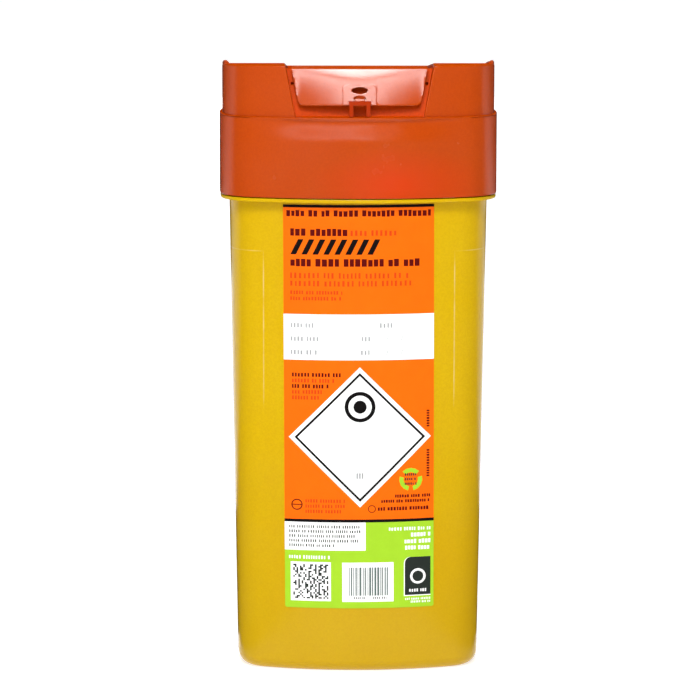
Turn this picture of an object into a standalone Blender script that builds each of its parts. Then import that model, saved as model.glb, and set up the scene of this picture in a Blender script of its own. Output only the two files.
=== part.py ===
"""A small clinical sharps bin: tapered tub, clip-on lid, hinged door with a two-position catch, and a front label.

Units are metres, +Z is up and the front faces -Y. The origin is on the surface that the bin stands on, under the
middle of the plan outline.
"""

import math

import bmesh
import bpy

# Plan outline: on each side a long shallow arc, joined by four rounder corner arcs.
HALF_WIDTH = 0.0443
HALF_DEPTH = 0.0310
FRONT_RADIUS = 0.098
SIDE_RADIUS = 0.122
CORNER_RADIUS = 0.0165
FRONT_STEPS, CORNER_STEPS, SIDE_STEPS = 6, 8, 2

# Heights
FLANGE_BOTTOM = 0.15133
SKIRT_BOTTOM = 0.15275
LEDGE_HEIGHT = 0.1782
ROOF_HEIGHT = 0.1942
NECK_TOP = 0.1640

# Container
BODY_INSET = 0.00304
DRAFT = math.tan(0.0160)
BASE_ROUND = 0.0041
BODY_WALL = 0.0012
FLOOR_THICKNESS = 0.0014
FOOT_RING_WIDTH = 0.0080
FOOT_RECESS = 0.0008
FLANGE_INSET = 0.00022
NECK_INSET = 0.0023
NECK_BEAD = 0.00065

# Lid
LID_WALL = 0.0013
SKIRT_GAP = 0.0003
SNAP_LIP = 0.00065
UPPER_INSET = 0.00088
LEDGE_ROUND = 0.0006
ROOF_ROUND = 0.0007
ROOF_KNEE = -0.0140
ROOF_SLOPE = math.tan(math.radians(4.8))
RIDGE_HEIGHT = 0.00105
RIDGE_WIDTH = 0.0016
RIDGE_END = 0.0135
NOTCH_HALF_WIDTH = 0.02006
NOTCH_FLARE = 0.1956
NOTCH_EDGE = 0.0009
TROUGH_REAR = 0.0234
DECK_DROP = 0.0067
LIP_TOP = 0.1889
RECESS_DEPTH = 0.0030
APERTURE_HALF_WIDTH = 0.0180
APERTURE_FRONT, APERTURE_REAR = -0.0126, 0.0154
APERTURE_CORNER = 0.0060
COLLAR_WALL = 0.0012
COLLAR_ABOVE, COLLAR_BELOW = 0.0005, 0.0025
PEEP_X, PEEP_HEIGHT, PEEP_SIZE = 0.0211, 0.1883, 0.00075
POST_TOP = 0.1932

# Door, its hinge and its catch
HINGE_Y = 0.0200
BARREL_RADIUS = 0.0019
PIN_RADIUS = 0.0011
PIN_END = 0.0237
SOCKET_RADIUS = 0.0014
SOCKET_END = 0.0240
BOSS_RADIUS = 0.0030
BOSS_END = 0.0253
DOOR_DROP = 0.0008
PLATE_THICKNESS = 0.0019
POCKET_DEPTH = 0.0006
POCKET_HALF_WIDTH = 0.0186
POCKET_FRONT, POCKET_REAR = -0.0213, 0.0165
FLAP_TOP_Y, FLAP_BOTTOM_Y = -0.0243, -0.0279
FLAP_BOTTOM = 0.1817
FLAP_THICKNESS = 0.0012
FLAP_HALF_WIDTH = 0.0213
FLAP_CORNER = 0.0022
FLAP_EDGE = 0.0005
FLAP_BEND = 0.0009
HOLES = ((0.1864, 0.0050, 0.00215), (0.1840, 0.00385, 0.0018))
PAD_HALF_WIDTH, PAD_TOP, PAD_CORNER, PAD_RAISE = 0.0053, 0.1881, 0.0017, 0.00025
POST_NOTCH, POST_NOTCH_FRONT, POST_NOTCH_REAR = 0.0006, -0.0228, -0.0190

CATCH_FRONT, CATCH_BACK = -0.0303, -0.0292
CATCH_FOOT = LEDGE_HEIGHT + 0.00015
BAR_BOTTOM, BAR_TOP = 0.18195, 0.18326
BAR_HALF_WIDTH = 0.0035
LEG_INNER, LEG_OUTER = 0.0020, 0.0033
TOOTH_TOP = 0.1840
TOOTH_TIP_Y = -0.02855
TOOTH_HALF_WIDTHS = (0.0011, 0.0016)

# Label
LABEL_HALF_WIDTH = 0.0239
LABEL_BOTTOM, LABEL_TOP = 0.0210, 0.1507
LABEL_GAP, LABEL_THICKNESS = 0.00006, 0.00012

# Colours are linear
YELLOW = (0.78, 0.50, 0.012, 1.0)
ORANGE = (0.62, 0.078, 0.010, 1.0)
LABEL_ORANGE = (0.95, 0.22, 0.012, 1.0)


def corner_centre():
    """Centre of the front right corner arc, tangent to the front arc and to the side arc."""
    front = (0.0, FRONT_RADIUS - HALF_DEPTH)
    side = (HALF_WIDTH - SIDE_RADIUS, 0.0)
    to_front = FRONT_RADIUS - CORNER_RADIUS
    to_side = SIDE_RADIUS - CORNER_RADIUS
    dx, dy = side[0] - front[0], side[1] - front[1]
    apart = math.hypot(dx, dy)
    along = (to_front**2 - to_side**2 + apart**2) / (2 * apart)
    across = math.sqrt(to_front**2 - along**2)
    x = front[0] + (along * dx - across * dy) / apart
    y = front[1] + (along * dy + across * dx) / apart
    if y > 0 or x < 0:
        x = front[0] + (along * dx + across * dy) / apart
        y = front[1] + (along * dy - across * dx) / apart
    return front, (x, y), side


def quarter_arcs():
    """The arcs from the middle of the front to the middle of the right side: centre, radius, angles and steps."""
    front, corner, side = corner_centre()
    first = math.atan2(corner[1] - front[1], corner[0] - front[0])
    second = math.atan2(corner[1] - side[1], corner[0] - side[0])
    return (
        (front, FRONT_RADIUS, -math.pi / 2, first, FRONT_STEPS),
        (corner, CORNER_RADIUS, first, second, CORNER_STEPS),
        (side, SIDE_RADIUS, second, 0.0, SIDE_STEPS),
    )


def outline(inset):
    """The plan outline moved inwards by inset, counter-clockwise from the middle of the front."""
    quarter = []
    for (cx, cy), radius, start, stop, steps in quarter_arcs():
        for i in range(steps):
            angle = start + (stop - start) * i / steps
            quarter.append((cx + (radius - inset) * math.cos(angle), cy + (radius - inset) * math.sin(angle)))
    quarter.append((HALF_WIDTH - inset, 0.0))
    right = quarter + [(x, -y) for x, y in reversed(quarter[:-1])]
    left = [(-x, y) for x, y in reversed(right[1:-1])]
    return right + left


def roof(y):
    """Height of the lid's roof: level at the front, then falling to the rear."""
    return ROOF_HEIGHT - ROOF_SLOPE * max(0.0, y - ROOF_KNEE)


def deck(y):
    """Height of the trough's floor, which follows the roof."""
    return roof(y) - DECK_DROP


def notch_half_width(z):
    """Half width between the cheeks, whose inner walls lean outwards."""
    return NOTCH_HALF_WIDTH + NOTCH_FLARE * (z - LEDGE_HEIGHT)


def flap_y(z):
    """Y of the flap's outer face at height z."""
    top = ROOF_HEIGHT - DOOR_DROP
    return FLAP_TOP_Y + (FLAP_BOTTOM_Y - FLAP_TOP_Y) * (top - z) / (top - FLAP_BOTTOM)


def material(name, colour, roughness):
    made = bpy.data.materials.new(name)
    made.use_nodes = True
    shader = made.node_tree.nodes["Principled BSDF"]
    shader.inputs["Base Color"].default_value = colour
    shader.inputs["Roughness"].default_value = roughness
    shader.inputs["Metallic"].default_value = 0.0
    return made


def mesh_object(name, points, faces, finish=None):
    """A smooth-shaded object with sharp edges kept, its faces turned outwards."""
    bm = bmesh.new()
    verts = [bm.verts.new(point) for point in points]
    for face in faces:
        bm.faces.new([verts[i] for i in face])
    bmesh.ops.recalc_face_normals(bm, faces=bm.faces)
    mesh = bpy.data.meshes.new(name)
    bm.to_mesh(mesh)
    bm.free()
    mesh.shade_smooth()
    mesh.set_sharp_from_angle(angle=math.radians(30))
    made = bpy.data.objects.new(name, mesh)
    bpy.context.scene.collection.objects.link(made)
    if finish:
        mesh.materials.append(finish)
    else:
        made.hide_render = True
        made.display_type = "WIRE"
    return made


def ring(inset, height):
    """The outline at one inset; height is a number or a function of y."""
    at = height if callable(height) else lambda y: height
    return [(x, y, at(y)) for x, y in outline(inset)]


def loft(name, rings, finish=None):
    """A solid through rings of equal count, closed by strips from each point to its mirror point."""
    count = len(rings[0])
    points = [point for one in rings for point in one]
    faces = []
    for level in range(len(rings) - 1):
        for i in range(count):
            a, b = level * count + i, level * count + (i + 1) % count
            faces.append((a, b, b + count, a + count))
    for start in (0, (len(rings) - 1) * count):
        for i in range(count // 2):
            strip = [i, i + 1, (count - i - 1) % count, (count - i) % count]
            faces.append([start + k for k in dict.fromkeys(strip)])
    return mesh_object(name, points, faces, finish)


def prism(name, sections, finish=None):
    """A solid through sections of equal count, each a closed loop of points, closed by its two end loops."""
    count = len(sections[0])
    points = [point for section in sections for point in section]
    faces = [list(range(count)), list(range(len(points) - count, len(points)))]
    for level in range(len(sections) - 1):
        for i in range(count):
            a, b = level * count + i, level * count + (i + 1) % count
            faces.append((a, b, b + count, a + count))
    return mesh_object(name, points, faces, finish)


def boolean(target, other, operation="DIFFERENCE"):
    modifier = target.modifiers.new(other.name, "BOOLEAN")
    modifier.operation = operation
    modifier.object = other
    modifier.solver = "EXACT"


def arc(cx, cy, radius, start, stop, steps):
    """Points on an arc, angles in degrees, both ends included."""
    angles = [math.radians(start + (stop - start) * i / steps) for i in range(steps + 1)]
    return [(cx + radius * math.cos(a), cy + radius * math.sin(a)) for a in angles]


def rounded_rectangle(x, y_low, y_high, radius, steps=5):
    corners = ((x, y_low, -90), (x, y_high, 0), (-x, y_high, 90), (-x, y_low, 180))
    points = []
    for cx, cy, start in corners:
        inner_x = cx - math.copysign(radius, cx)
        inner_y = cy + radius if cy == y_low else cy - radius
        points += arc(inner_x, inner_y, radius, start, start + 90, steps)
    return points


def cylinder_x(name, x_start, x_stop, y, z, radius, steps):
    """A cylinder along X."""
    circle = [(y + radius * math.cos(math.tau * i / steps), z + radius * math.sin(math.tau * i / steps)) for i in range(steps)]
    return prism(name, [[(x, cy, cz) for cy, cz in circle] for x in (x_start, x_stop)])


def body_inset(z):
    """Inset of the container's outer wall, which tapers towards the base."""
    return BODY_INSET + DRAFT * (SKIRT_BOTTOM - z)


def make_container(finish):
    base = body_inset(BASE_ROUND)
    rings = [ring(base + FOOT_RING_WIDTH + FOOT_RECESS, FOOT_RECESS), ring(base + FOOT_RING_WIDTH, 0.0)]
    for inset, z in arc(base + BASE_ROUND, BASE_ROUND, BASE_ROUND, -90, -180, 5):
        rings.append(ring(inset, z))
    under_flange = FLANGE_BOTTOM - 0.0004
    rings += [ring(body_inset(under_flange), under_flange), ring(body_inset(FLANGE_BOTTOM) - 0.0004, FLANGE_BOTTOM)]
    flange_top = SKIRT_BOTTOM - SKIRT_GAP
    chamfer = 0.0002
    rings += [ring(FLANGE_INSET + chamfer, FLANGE_BOTTOM), ring(FLANGE_INSET, FLANGE_BOTTOM + chamfer)]
    rings += [ring(FLANGE_INSET, flange_top - chamfer), ring(FLANGE_INSET + chamfer, flange_top)]
    bead = NECK_INSET - NECK_BEAD
    for inset, z in (
        (NECK_INSET, flange_top),
        (NECK_INSET, 0.1572),
        (bead, 0.1577),
        (bead, 0.1592),
        (NECK_INSET, 0.1604),
        (NECK_INSET, NECK_TOP - 0.0004),
        (NECK_INSET + 0.0004, NECK_TOP),
        (NECK_INSET + BODY_WALL - 0.0003, NECK_TOP),
        (NECK_INSET + BODY_WALL, NECK_TOP - 0.0003),
        (NECK_INSET + BODY_WALL, FLANGE_BOTTOM),
        (body_inset(0.1500) + BODY_WALL, 0.1500),
    ):
        rings.append(ring(inset, z))
    floor = FOOT_RECESS + FLOOR_THICKNESS
    inner_round = BASE_ROUND - BODY_WALL
    corner = floor + inner_round
    for inset, z in arc(body_inset(corner) + BODY_WALL + inner_round, corner, inner_round, 180, 270, 4):
        rings.append(ring(inset, z))
    return loft("container", rings, finish)


def prism_x(name, side_view, half_width, finish=None):
    """A solid from a side view of (y, z) points; half_width is a function of z that is linear."""
    return prism(name, [[(side * half_width(z), y, z) for y, z in side_view] for side in (-1, 1)], finish)


def wall_y(z, extra=0.0):
    """Y of the recess wall behind the flap, which leans as the flap does."""
    lean = math.atan2(FLAP_TOP_Y - FLAP_BOTTOM_Y, ROOF_HEIGHT - DOOR_DROP - FLAP_BOTTOM)
    return flap_y(z) + (RECESS_DEPTH + extra) / math.cos(lean)


def trough():
    """The space that holds the door: recess down to the ledge, lip, and trough above the deck."""
    front, top = -HALF_DEPTH - 0.01, ROOF_HEIGHT + 0.005
    lip_back = wall_y(LIP_TOP, LID_WALL)
    side_view = [
        (front, LEDGE_HEIGHT),
        (wall_y(LEDGE_HEIGHT), LEDGE_HEIGHT),
        (wall_y(LIP_TOP), LIP_TOP),
        (lip_back, LIP_TOP),
        (lip_back, deck(lip_back)),
        (ROOF_KNEE, deck(ROOF_KNEE)),
        (TROUGH_REAR, deck(TROUGH_REAR)),
        (TROUGH_REAR, top),
        (front, top),
    ]
    return prism_x("trough", side_view, notch_half_width)


def trough_outside():
    """The trough grown by the wall thickness, which is kept out of the lid's hollow."""
    front, top = -HALF_DEPTH - 0.01, ROOF_HEIGHT + 0.005
    low = deck(ROOF_KNEE) - LID_WALL
    rear = TROUGH_REAR + LID_WALL
    side_view = [
        (front, LEDGE_HEIGHT - LID_WALL),
        (wall_y(LEDGE_HEIGHT - LID_WALL, LID_WALL), LEDGE_HEIGHT - LID_WALL),
        (wall_y(low, LID_WALL), low),
        (ROOF_KNEE, low),
        (rear, deck(rear) - LID_WALL),
        (rear, top),
        (front, top),
    ]
    return prism_x("trough_outside", side_view, lambda z: notch_half_width(z) + LID_WALL)


def door_half_width(z):
    return FLAP_HALF_WIDTH - NOTCH_FLARE * (ROOF_HEIGHT - DOOR_DROP - z)


def lip_post(side):
    """Carries the lip up beside the door, to fill the gap between the door's edge and the cheek."""
    sections = []
    for z in (LIP_TOP - 0.0004, POST_TOP):
        inner = door_half_width(z)
        outer = notch_half_width(z) + 0.0006
        front, back = wall_y(z), wall_y(z, LID_WALL)
        sections.append([(side * x, y, z) for x, y in ((inner, front), (outer, front), (outer, back), (inner, back))])
    return prism(f"lip_post_{'left' if side < 0 else 'right'}", sections)


def cheek_chamfer(side):
    """Takes the sharp edge off a cheek where its inner wall meets the roof."""
    run, rise = NOTCH_EDGE * (1 + NOTCH_FLARE), NOTCH_EDGE
    sections = []
    for y in (-HALF_DEPTH - 0.01, ROOF_KNEE, TROUGH_REAR - 0.0002):
        x, z = notch_half_width(roof(y)) - NOTCH_EDGE * NOTCH_FLARE, roof(y) - NOTCH_EDGE
        low = (x - run, z - rise)
        high = (x + 2 * run, z + 2 * rise)
        loop = [low, high, (low[0], high[1])]
        sections.append([(side * px, y, pz) for px, pz in loop])
    return prism(f"cheek_chamfer_{'left' if side < 0 else 'right'}", sections)


def lid_cavity():
    """The hollow of the lid: open at the bottom, with the snap lip that the neck's bead is held by."""
    lip = LID_WALL + SNAP_LIP
    upper = UPPER_INSET + LID_WALL
    below_ledge = LEDGE_HEIGHT - LID_WALL
    rings = [
        ring(LID_WALL, SKIRT_BOTTOM - 0.002),
        ring(LID_WALL, 0.1540),
        ring(lip, 0.1547),
        ring(lip, 0.1560),
        ring(LID_WALL, 0.1569),
        ring(LID_WALL, below_ledge - 0.0005),
        ring(LID_WALL + 0.0005, below_ledge),
        ring(upper + 0.0003, below_ledge),
        ring(upper + 0.0003, lambda y: roof(y) - LID_WALL),
    ]
    cavity = loft("lid_cavity", rings)
    boolean(cavity, trough_outside())
    for side in (-1, 1):
        name = f"socket_boss_{'left' if side < 0 else 'right'}"
        boss = cylinder_x(name, side * 0.0205, side * BOSS_END, HINGE_Y, hinge_height(), BOSS_RADIUS, 20)
        boolean(cavity, boss)
    return cavity


def hinge_height():
    return roof(HINGE_Y) - DOOR_DROP - BARREL_RADIUS


def aperture_loops(grow, low, high):
    """The aperture's rounded outline at two heights that follow the deck."""
    plan = rounded_rectangle(
        APERTURE_HALF_WIDTH + grow, APERTURE_FRONT - grow, APERTURE_REAR + grow, APERTURE_CORNER + grow
    )
    return [[(x, y, deck(y) + lift) for x, y in plan] for lift in (low, high)]


def ridge(side):
    """A low ridge on the roof along one side."""
    line = [(o, i) for o, i in zip(outline(UPPER_INSET + 0.0001), outline(UPPER_INSET + RIDGE_WIDTH)) if o[0] * side > 0]
    line = [(outer, inner) for outer, inner in line if abs(outer[1]) <= RIDGE_END]
    sections = []
    for outer, inner in line:
        fade = 1 - (abs(outer[1]) / (RIDGE_END * 1.05)) ** 8
        top = roof(outer[1]) + RIDGE_HEIGHT * fade
        low = roof(outer[1]) - 0.0005
        across = [outer[0] + (inner[0] - outer[0]) * share for share in (0.0, 0.25, 0.75, 1.0)]
        heights = (top - RIDGE_HEIGHT * fade * 0.45, top, top, top - RIDGE_HEIGHT * fade * 0.45)
        loop = [(outer[0], low)] + list(zip(across, heights)) + [(inner[0], low)]
        sections.append([(x, outer[1], z) for x, z in loop])
    return prism(f"ridge_{'left' if side < 0 else 'right'}", sections)


def make_lid(finish):
    half = math.sqrt(0.5)
    rings = [
        ring(0.0003, SKIRT_BOTTOM),
        ring(0.0, SKIRT_BOTTOM + 0.0003),
        ring(0.0, LEDGE_HEIGHT - LEDGE_ROUND),
        ring(LEDGE_ROUND * (1 - half), LEDGE_HEIGHT - LEDGE_ROUND * (1 - half)),
        ring(LEDGE_ROUND, LEDGE_HEIGHT),
        ring(UPPER_INSET, LEDGE_HEIGHT),
    ]
    for angle in (0, 30, 60, 90):
        turn = math.radians(angle)
        inset = UPPER_INSET + ROOF_ROUND * (1 - math.cos(turn))
        drop = ROOF_ROUND * (1 - math.sin(turn))
        rings.append(ring(inset, lambda y, drop=drop: roof(y) - drop))
    lid = loft("lid", rings, finish)
    for side in (-1, 1):
        boolean(lid, ridge(side), "UNION")
        boolean(lid, cheek_chamfer(side))
    boolean(lid, trough())
    for side in (-1, 1):
        boolean(lid, lip_post(side), "UNION")
    boolean(lid, lid_cavity())
    collar = prism("collar", aperture_loops(COLLAR_WALL, -LID_WALL - COLLAR_BELOW, COLLAR_ABOVE))
    boolean(lid, collar, "UNION")
    boolean(lid, prism("aperture", aperture_loops(0.0, -0.02, 0.02)))
    for side in (-1, 1):
        word = "left" if side < 0 else "right"
        socket = cylinder_x(f"socket_{word}", side * 0.0190, side * SOCKET_END, HINGE_Y, hinge_height(), SOCKET_RADIUS, 16)
        boolean(lid, socket)
        half_size = PEEP_SIZE / 2
        x_low, x_high = side * PEEP_X - half_size, side * PEEP_X + half_size
        loop = [(x_low, -half_size), (x_high, -half_size), (x_high, half_size), (x_low, half_size)]
        peep = prism(f"peep_{word}", [[(x, y, PEEP_HEIGHT + z) for x, z in loop] for y in (-0.026, -0.0205)])
        boolean(lid, peep)
    return lid


def door_profile():
    """The door's side view as (y, z) points: barrel, top, flap, and back along the underside."""
    top = ROOF_HEIGHT - DOOR_DROP
    lean = math.degrees(math.atan2(FLAP_TOP_Y - FLAP_BOTTOM_Y, top - FLAP_BOTTOM))
    along = (-math.sin(math.radians(lean)), -math.cos(math.radians(lean)))
    inward = (math.cos(math.radians(lean)), -math.sin(math.radians(lean)))
    points = arc(HINGE_Y, hinge_height(), BARREL_RADIUS, -90, 90, 8)
    points.append((ROOF_KNEE, top))
    bend_y = flap_y(top - FLAP_BEND) + FLAP_BEND / math.cos(math.radians(lean))
    points += arc(bend_y, top - FLAP_BEND, FLAP_BEND, 90, 180 - lean, 4)
    tip = (FLAP_BOTTOM_Y - along[0] * FLAP_EDGE, FLAP_BOTTOM - along[1] * FLAP_EDGE)
    points += arc(tip[0] + inward[0] * FLAP_EDGE, tip[1] + inward[1] * FLAP_EDGE, FLAP_EDGE, 180 - lean, 270 - lean, 3)
    inner = (FLAP_BOTTOM_Y + inward[0] * FLAP_THICKNESS, FLAP_BOTTOM + inward[1] * FLAP_THICKNESS)
    points.append(inner)
    under = top - PLATE_THICKNESS
    climb = (under - inner[1]) / along[1]
    points.append((inner[0] + along[0] * climb, under))
    points.append((ROOF_KNEE, under))
    barrel_front = HINGE_Y - 1.4 * BARREL_RADIUS
    points.append((barrel_front, roof(barrel_front) - DOOR_DROP - PLATE_THICKNESS))
    return points


def post_notch(side):
    """Clears the lip post beside the plate, behind the flap."""
    loop = []
    for z, step in ((0.1895, 0.0), (0.1895, 0.004), (0.1960, 0.004), (0.1960, 0.0)):
        loop.append((side * (door_half_width(z) - POST_NOTCH + step), z))
    sections = [[(x, y, z) for x, z in loop] for y in (POST_NOTCH_FRONT, POST_NOTCH_REAR)]
    return prism(f"post_notch_{'left' if side < 0 else 'right'}", sections)


def make_door(finish):
    profile = door_profile()
    door = prism_x("door", profile, lambda z: 0.03, finish)

    top = ROOF_HEIGHT + 0.005
    low_half = FLAP_HALF_WIDTH - NOTCH_FLARE * (ROOF_HEIGHT - DOOR_DROP - FLAP_BOTTOM)
    lean = math.degrees(math.atan(NOTCH_FLARE))
    centre_x = low_half - FLAP_CORNER / math.cos(math.radians(lean)) + FLAP_CORNER * math.tan(math.radians(lean))
    corner = arc(centre_x, FLAP_BOTTOM + FLAP_CORNER, FLAP_CORNER, -90, -lean, 6)
    side = corner + [(low_half + NOTCH_FLARE * (top - FLAP_BOTTOM), top)]
    front_view = side + [(-x, z) for x, z in reversed(side)]
    boolean(door, prism("door_front_view", [[(x, y, z) for x, z in front_view] for y in (-0.04, 0.03)]), "INTERSECT")
    for side_sign in (-1, 1):
        boolean(door, post_notch(side_sign))

    ceiling = DOOR_DROP + PLATE_THICKNESS - POCKET_DEPTH
    stations = (POCKET_FRONT, ROOF_KNEE, POCKET_REAR)
    pocket = [(y, roof(y) - ceiling) for y in stations] + [(y, roof(y) - ceiling - 0.004) for y in reversed(stations)]
    boolean(door, prism_x("door_pocket", pocket, lambda z: POCKET_HALF_WIDTH))

    pad_side = arc(PAD_HALF_WIDTH - PAD_CORNER, PAD_TOP - PAD_CORNER, PAD_CORNER, 0, 90, 4)
    pad_view = [(PAD_HALF_WIDTH, FLAP_BOTTOM + 0.0003)] + pad_side
    pad_view += [(-x, z) for x, z in reversed(pad_view)]
    pad = [[(x, flap_y(z) - out, z) for x, z in pad_view] for out in (PAD_RAISE, -0.0005)]
    boolean(door, prism("flap_pad", pad), "UNION")

    for number, (z, width, height) in enumerate(HOLES):
        loop = [(width / 2 * math.cos(math.tau * i / 20), height / 2 * math.sin(math.tau * i / 20)) for i in range(20)]
        hole = [[(x, y, z + dz) for x, dz in loop] for y in (-0.032, -0.022)]
        boolean(door, prism(f"catch_hole_{number}", hole))
    for side_sign in (-1, 1):
        name = f"hinge_pin_{'left' if side_sign < 0 else 'right'}"
        pin = cylinder_x(name, side_sign * 0.0180, side_sign * PIN_END, HINGE_Y, hinge_height(), PIN_RADIUS, 16)
        boolean(door, pin, "UNION")
    return door


def make_catch(finish):
    """The bar on two legs, with its tooth, as one front view extruded in depth."""
    view = [
        (LEG_OUTER, CATCH_FOOT),
        (LEG_OUTER, BAR_BOTTOM),
        (BAR_HALF_WIDTH, BAR_BOTTOM),
        (BAR_HALF_WIDTH, BAR_TOP),
        (-BAR_HALF_WIDTH, BAR_TOP),
        (-BAR_HALF_WIDTH, BAR_BOTTOM),
        (-LEG_OUTER, BAR_BOTTOM),
        (-LEG_OUTER, CATCH_FOOT),
        (-LEG_INNER, CATCH_FOOT),
        (-LEG_INNER, BAR_BOTTOM),
        (LEG_INNER, BAR_BOTTOM),
        (LEG_INNER, CATCH_FOOT),
    ]
    catch = prism("door_catch", [[(x, y, z) for x, z in view] for y in (CATCH_FRONT, CATCH_BACK)], finish)
    narrow, wide = TOOTH_HALF_WIDTHS
    low = BAR_TOP - 0.0006
    tooth = [(-narrow, low), (narrow, low), (wide, TOOTH_TOP), (-wide, TOOTH_TOP)]
    tooth_loops = [[(x, y, z) for x, z in tooth] for y in (CATCH_BACK - 0.0007, TOOTH_TIP_Y)]
    boolean(catch, prism("tooth", tooth_loops), "UNION")
    return catch


def label_line(inset, z):
    """Points across the front at one height, cut off at the label's two edges."""
    full = [(x, y) for x, y in outline(inset) if y < 0 and abs(x) < 0.03]
    full.sort()
    inside = [(x, y) for x, y in full if abs(x) < LABEL_HALF_WIDTH]
    outside = min((x, y) for x, y in full if x >= LABEL_HALF_WIDTH)
    last = max(inside)
    share = (LABEL_HALF_WIDTH - last[0]) / (outside[0] - last[0])
    edge_y = last[1] + share * (outside[1] - last[1])
    line = [(-LABEL_HALF_WIDTH, edge_y)] + inside + [(LABEL_HALF_WIDTH, edge_y)]
    return [(x, y, z) for x, y in line]


def make_label(finish):
    sections = []
    for z in (LABEL_BOTTOM, LABEL_TOP):
        back = label_line(body_inset(z) - LABEL_GAP, z)
        front = label_line(body_inset(z) - LABEL_GAP - LABEL_THICKNESS, z)
        sections.append(front + list(reversed(back)))
    return prism("front_label", sections, finish)


def main():
    for existing in list(bpy.data.objects):
        bpy.data.objects.remove(existing, do_unlink=True)
    yellow = material("yellow_polypropylene", YELLOW, 0.32)
    orange = material("orange_polypropylene", ORANGE, 0.34)
    printed = material("printed_label_film", LABEL_ORANGE, 0.45)
    make_container(yellow)
    make_lid(orange)
    make_door(orange)
    make_catch(orange)
    make_label(printed)


main()
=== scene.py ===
"""The look of the small clinical sharps bin: moulded tub, lid, door and catch, and a printed film label.

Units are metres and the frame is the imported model's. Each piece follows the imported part's own construction,
with rounder edges, and rides on the body of the node that it stands for.
"""

import math
import random
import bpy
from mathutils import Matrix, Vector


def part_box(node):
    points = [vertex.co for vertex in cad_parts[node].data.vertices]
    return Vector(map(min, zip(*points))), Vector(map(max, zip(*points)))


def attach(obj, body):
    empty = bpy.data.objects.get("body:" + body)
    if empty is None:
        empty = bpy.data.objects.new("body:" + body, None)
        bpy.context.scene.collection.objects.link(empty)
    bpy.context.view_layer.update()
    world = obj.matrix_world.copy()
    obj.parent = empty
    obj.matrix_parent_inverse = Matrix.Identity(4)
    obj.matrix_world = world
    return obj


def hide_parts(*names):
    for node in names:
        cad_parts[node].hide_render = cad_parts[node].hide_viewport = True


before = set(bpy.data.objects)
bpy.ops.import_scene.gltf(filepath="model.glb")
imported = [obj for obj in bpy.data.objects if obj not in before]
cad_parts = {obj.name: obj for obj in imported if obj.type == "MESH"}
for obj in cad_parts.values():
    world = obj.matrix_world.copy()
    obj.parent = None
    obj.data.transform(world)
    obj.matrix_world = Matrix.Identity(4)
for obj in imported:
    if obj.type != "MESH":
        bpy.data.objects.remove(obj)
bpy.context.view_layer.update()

from types import SimpleNamespace

import bmesh
import bpy
from mathutils import Matrix, Vector

MM = 0.001

# A Boolean is made again, up to so many times, if its volume or its box is off by more than the slack
BOOLEAN_TRIES, VOLUME_SLACK, REACH_SLACK = 8, 2e-9, 2e-6

# Plan outline: on each side a long shallow arc, joined by four rounder corner arcs.
HALF_WIDTH = (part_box("lid")[1].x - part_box("lid")[0].x) / 2
HALF_DEPTH = (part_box("lid")[1].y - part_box("lid")[0].y) / 2
FRONT_RADIUS = 0.098
SIDE_RADIUS = 0.122
CORNER_RADIUS = 0.0165
FRONT_STEPS, CORNER_STEPS, SIDE_STEPS = 20, 16, 6

# Heights
FLANGE_BOTTOM = 0.15133
SKIRT_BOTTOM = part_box("lid")[0].z
LEDGE_HEIGHT = 0.1782
ROOF_HEIGHT = 0.1942
NECK_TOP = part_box("container")[1].z

# Cutting solids end out here, clear of the part
CLEAR_FRONT, CLEAR_TOP = -HALF_DEPTH - 0.01, ROOF_HEIGHT + 0.005

# Container
BODY_INSET = 0.00304
DRAFT = math.tan(0.0160)
BASE_ROUND = 0.0041
BODY_WALL = 0.0012
FLOOR_THICKNESS = 0.0014
FOOT_RING_WIDTH = 0.0080
FOOT_RECESS = 0.0008
FLANGE_INSET = 0.00022
NECK_INSET = 0.0023
NECK_BEAD, BEAD_LOW, BEAD_HIGH = 0.00065, 0.1578, 0.1591
# Height at which the inner wall turns out from the neck, and the rounding of thin rims
WALL_TURN, EDGE = 0.1500, 0.0003

# Lid
LID_WALL = 0.0013
SKIRT_GAP = 0.0003
SNAP_LIP, SNAP_LIP_LOW, SNAP_LIP_HIGH = 0.00065, 0.1547, 0.1560
UPPER_INSET = 0.00088
LEDGE_ROUND = 0.0006
ROOF_ROUND = 0.0007
ROOF_KNEE = -0.0140
ROOF_SLOPE = math.tan(math.radians(4.8))
RIDGE_HEIGHT = 0.00105
RIDGE_WIDTH = 0.0016
RIDGE_END = 0.0135
# One flank of the ridge's section as (share of its width, share of its height)
RIDGE_RISE = ((0.0, 0.45), (0.07, 0.72), (0.18, 0.91), (0.32, 1.0))
RIDGE_SECTION = RIDGE_RISE + tuple((1 - share, level) for share, level in reversed(RIDGE_RISE))
NOTCH_HALF_WIDTH = 0.02006
NOTCH_FLARE = 0.1956
CHEEK_ROUND = 0.0009
CHEEK_FRONT_ROUND = 0.00035
TROUGH_REAR = 0.0234
DECK_DROP = 0.0067
LIP_TOP = 0.1889
RECESS_DEPTH = 0.0030
APERTURE_HALF_WIDTH = 0.0180
APERTURE_FRONT, APERTURE_REAR = -0.0126, 0.0154
APERTURE_CORNER = 0.0060
COLLAR_WALL = 0.0012
COLLAR_ABOVE, COLLAR_BELOW = 0.0005, 0.0025
PEEP_X, PEEP_HEIGHT, PEEP_SIZE = 0.0211, 0.1883, 0.00095
PEEP_FRONT, PEEP_BACK = -0.026, -0.0205
POST_TOP = 0.1929
SINK_DEPTH, SINK_LOW, SINK_MIDDLE, SINK_HIGH = 0.00078, 0.1702, 0.1768, 0.1779
SINK_HALF_WIDTH, SINK_FADE = 0.0250, 0.0100
SINK_WAVES = ((0.10, 260.0, 0.0), (0.05, 710.0, 1.3))
# Degrees by which the arc of a rounding cutter runs past the faces that it joins
OVERSHOOT = 9

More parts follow.
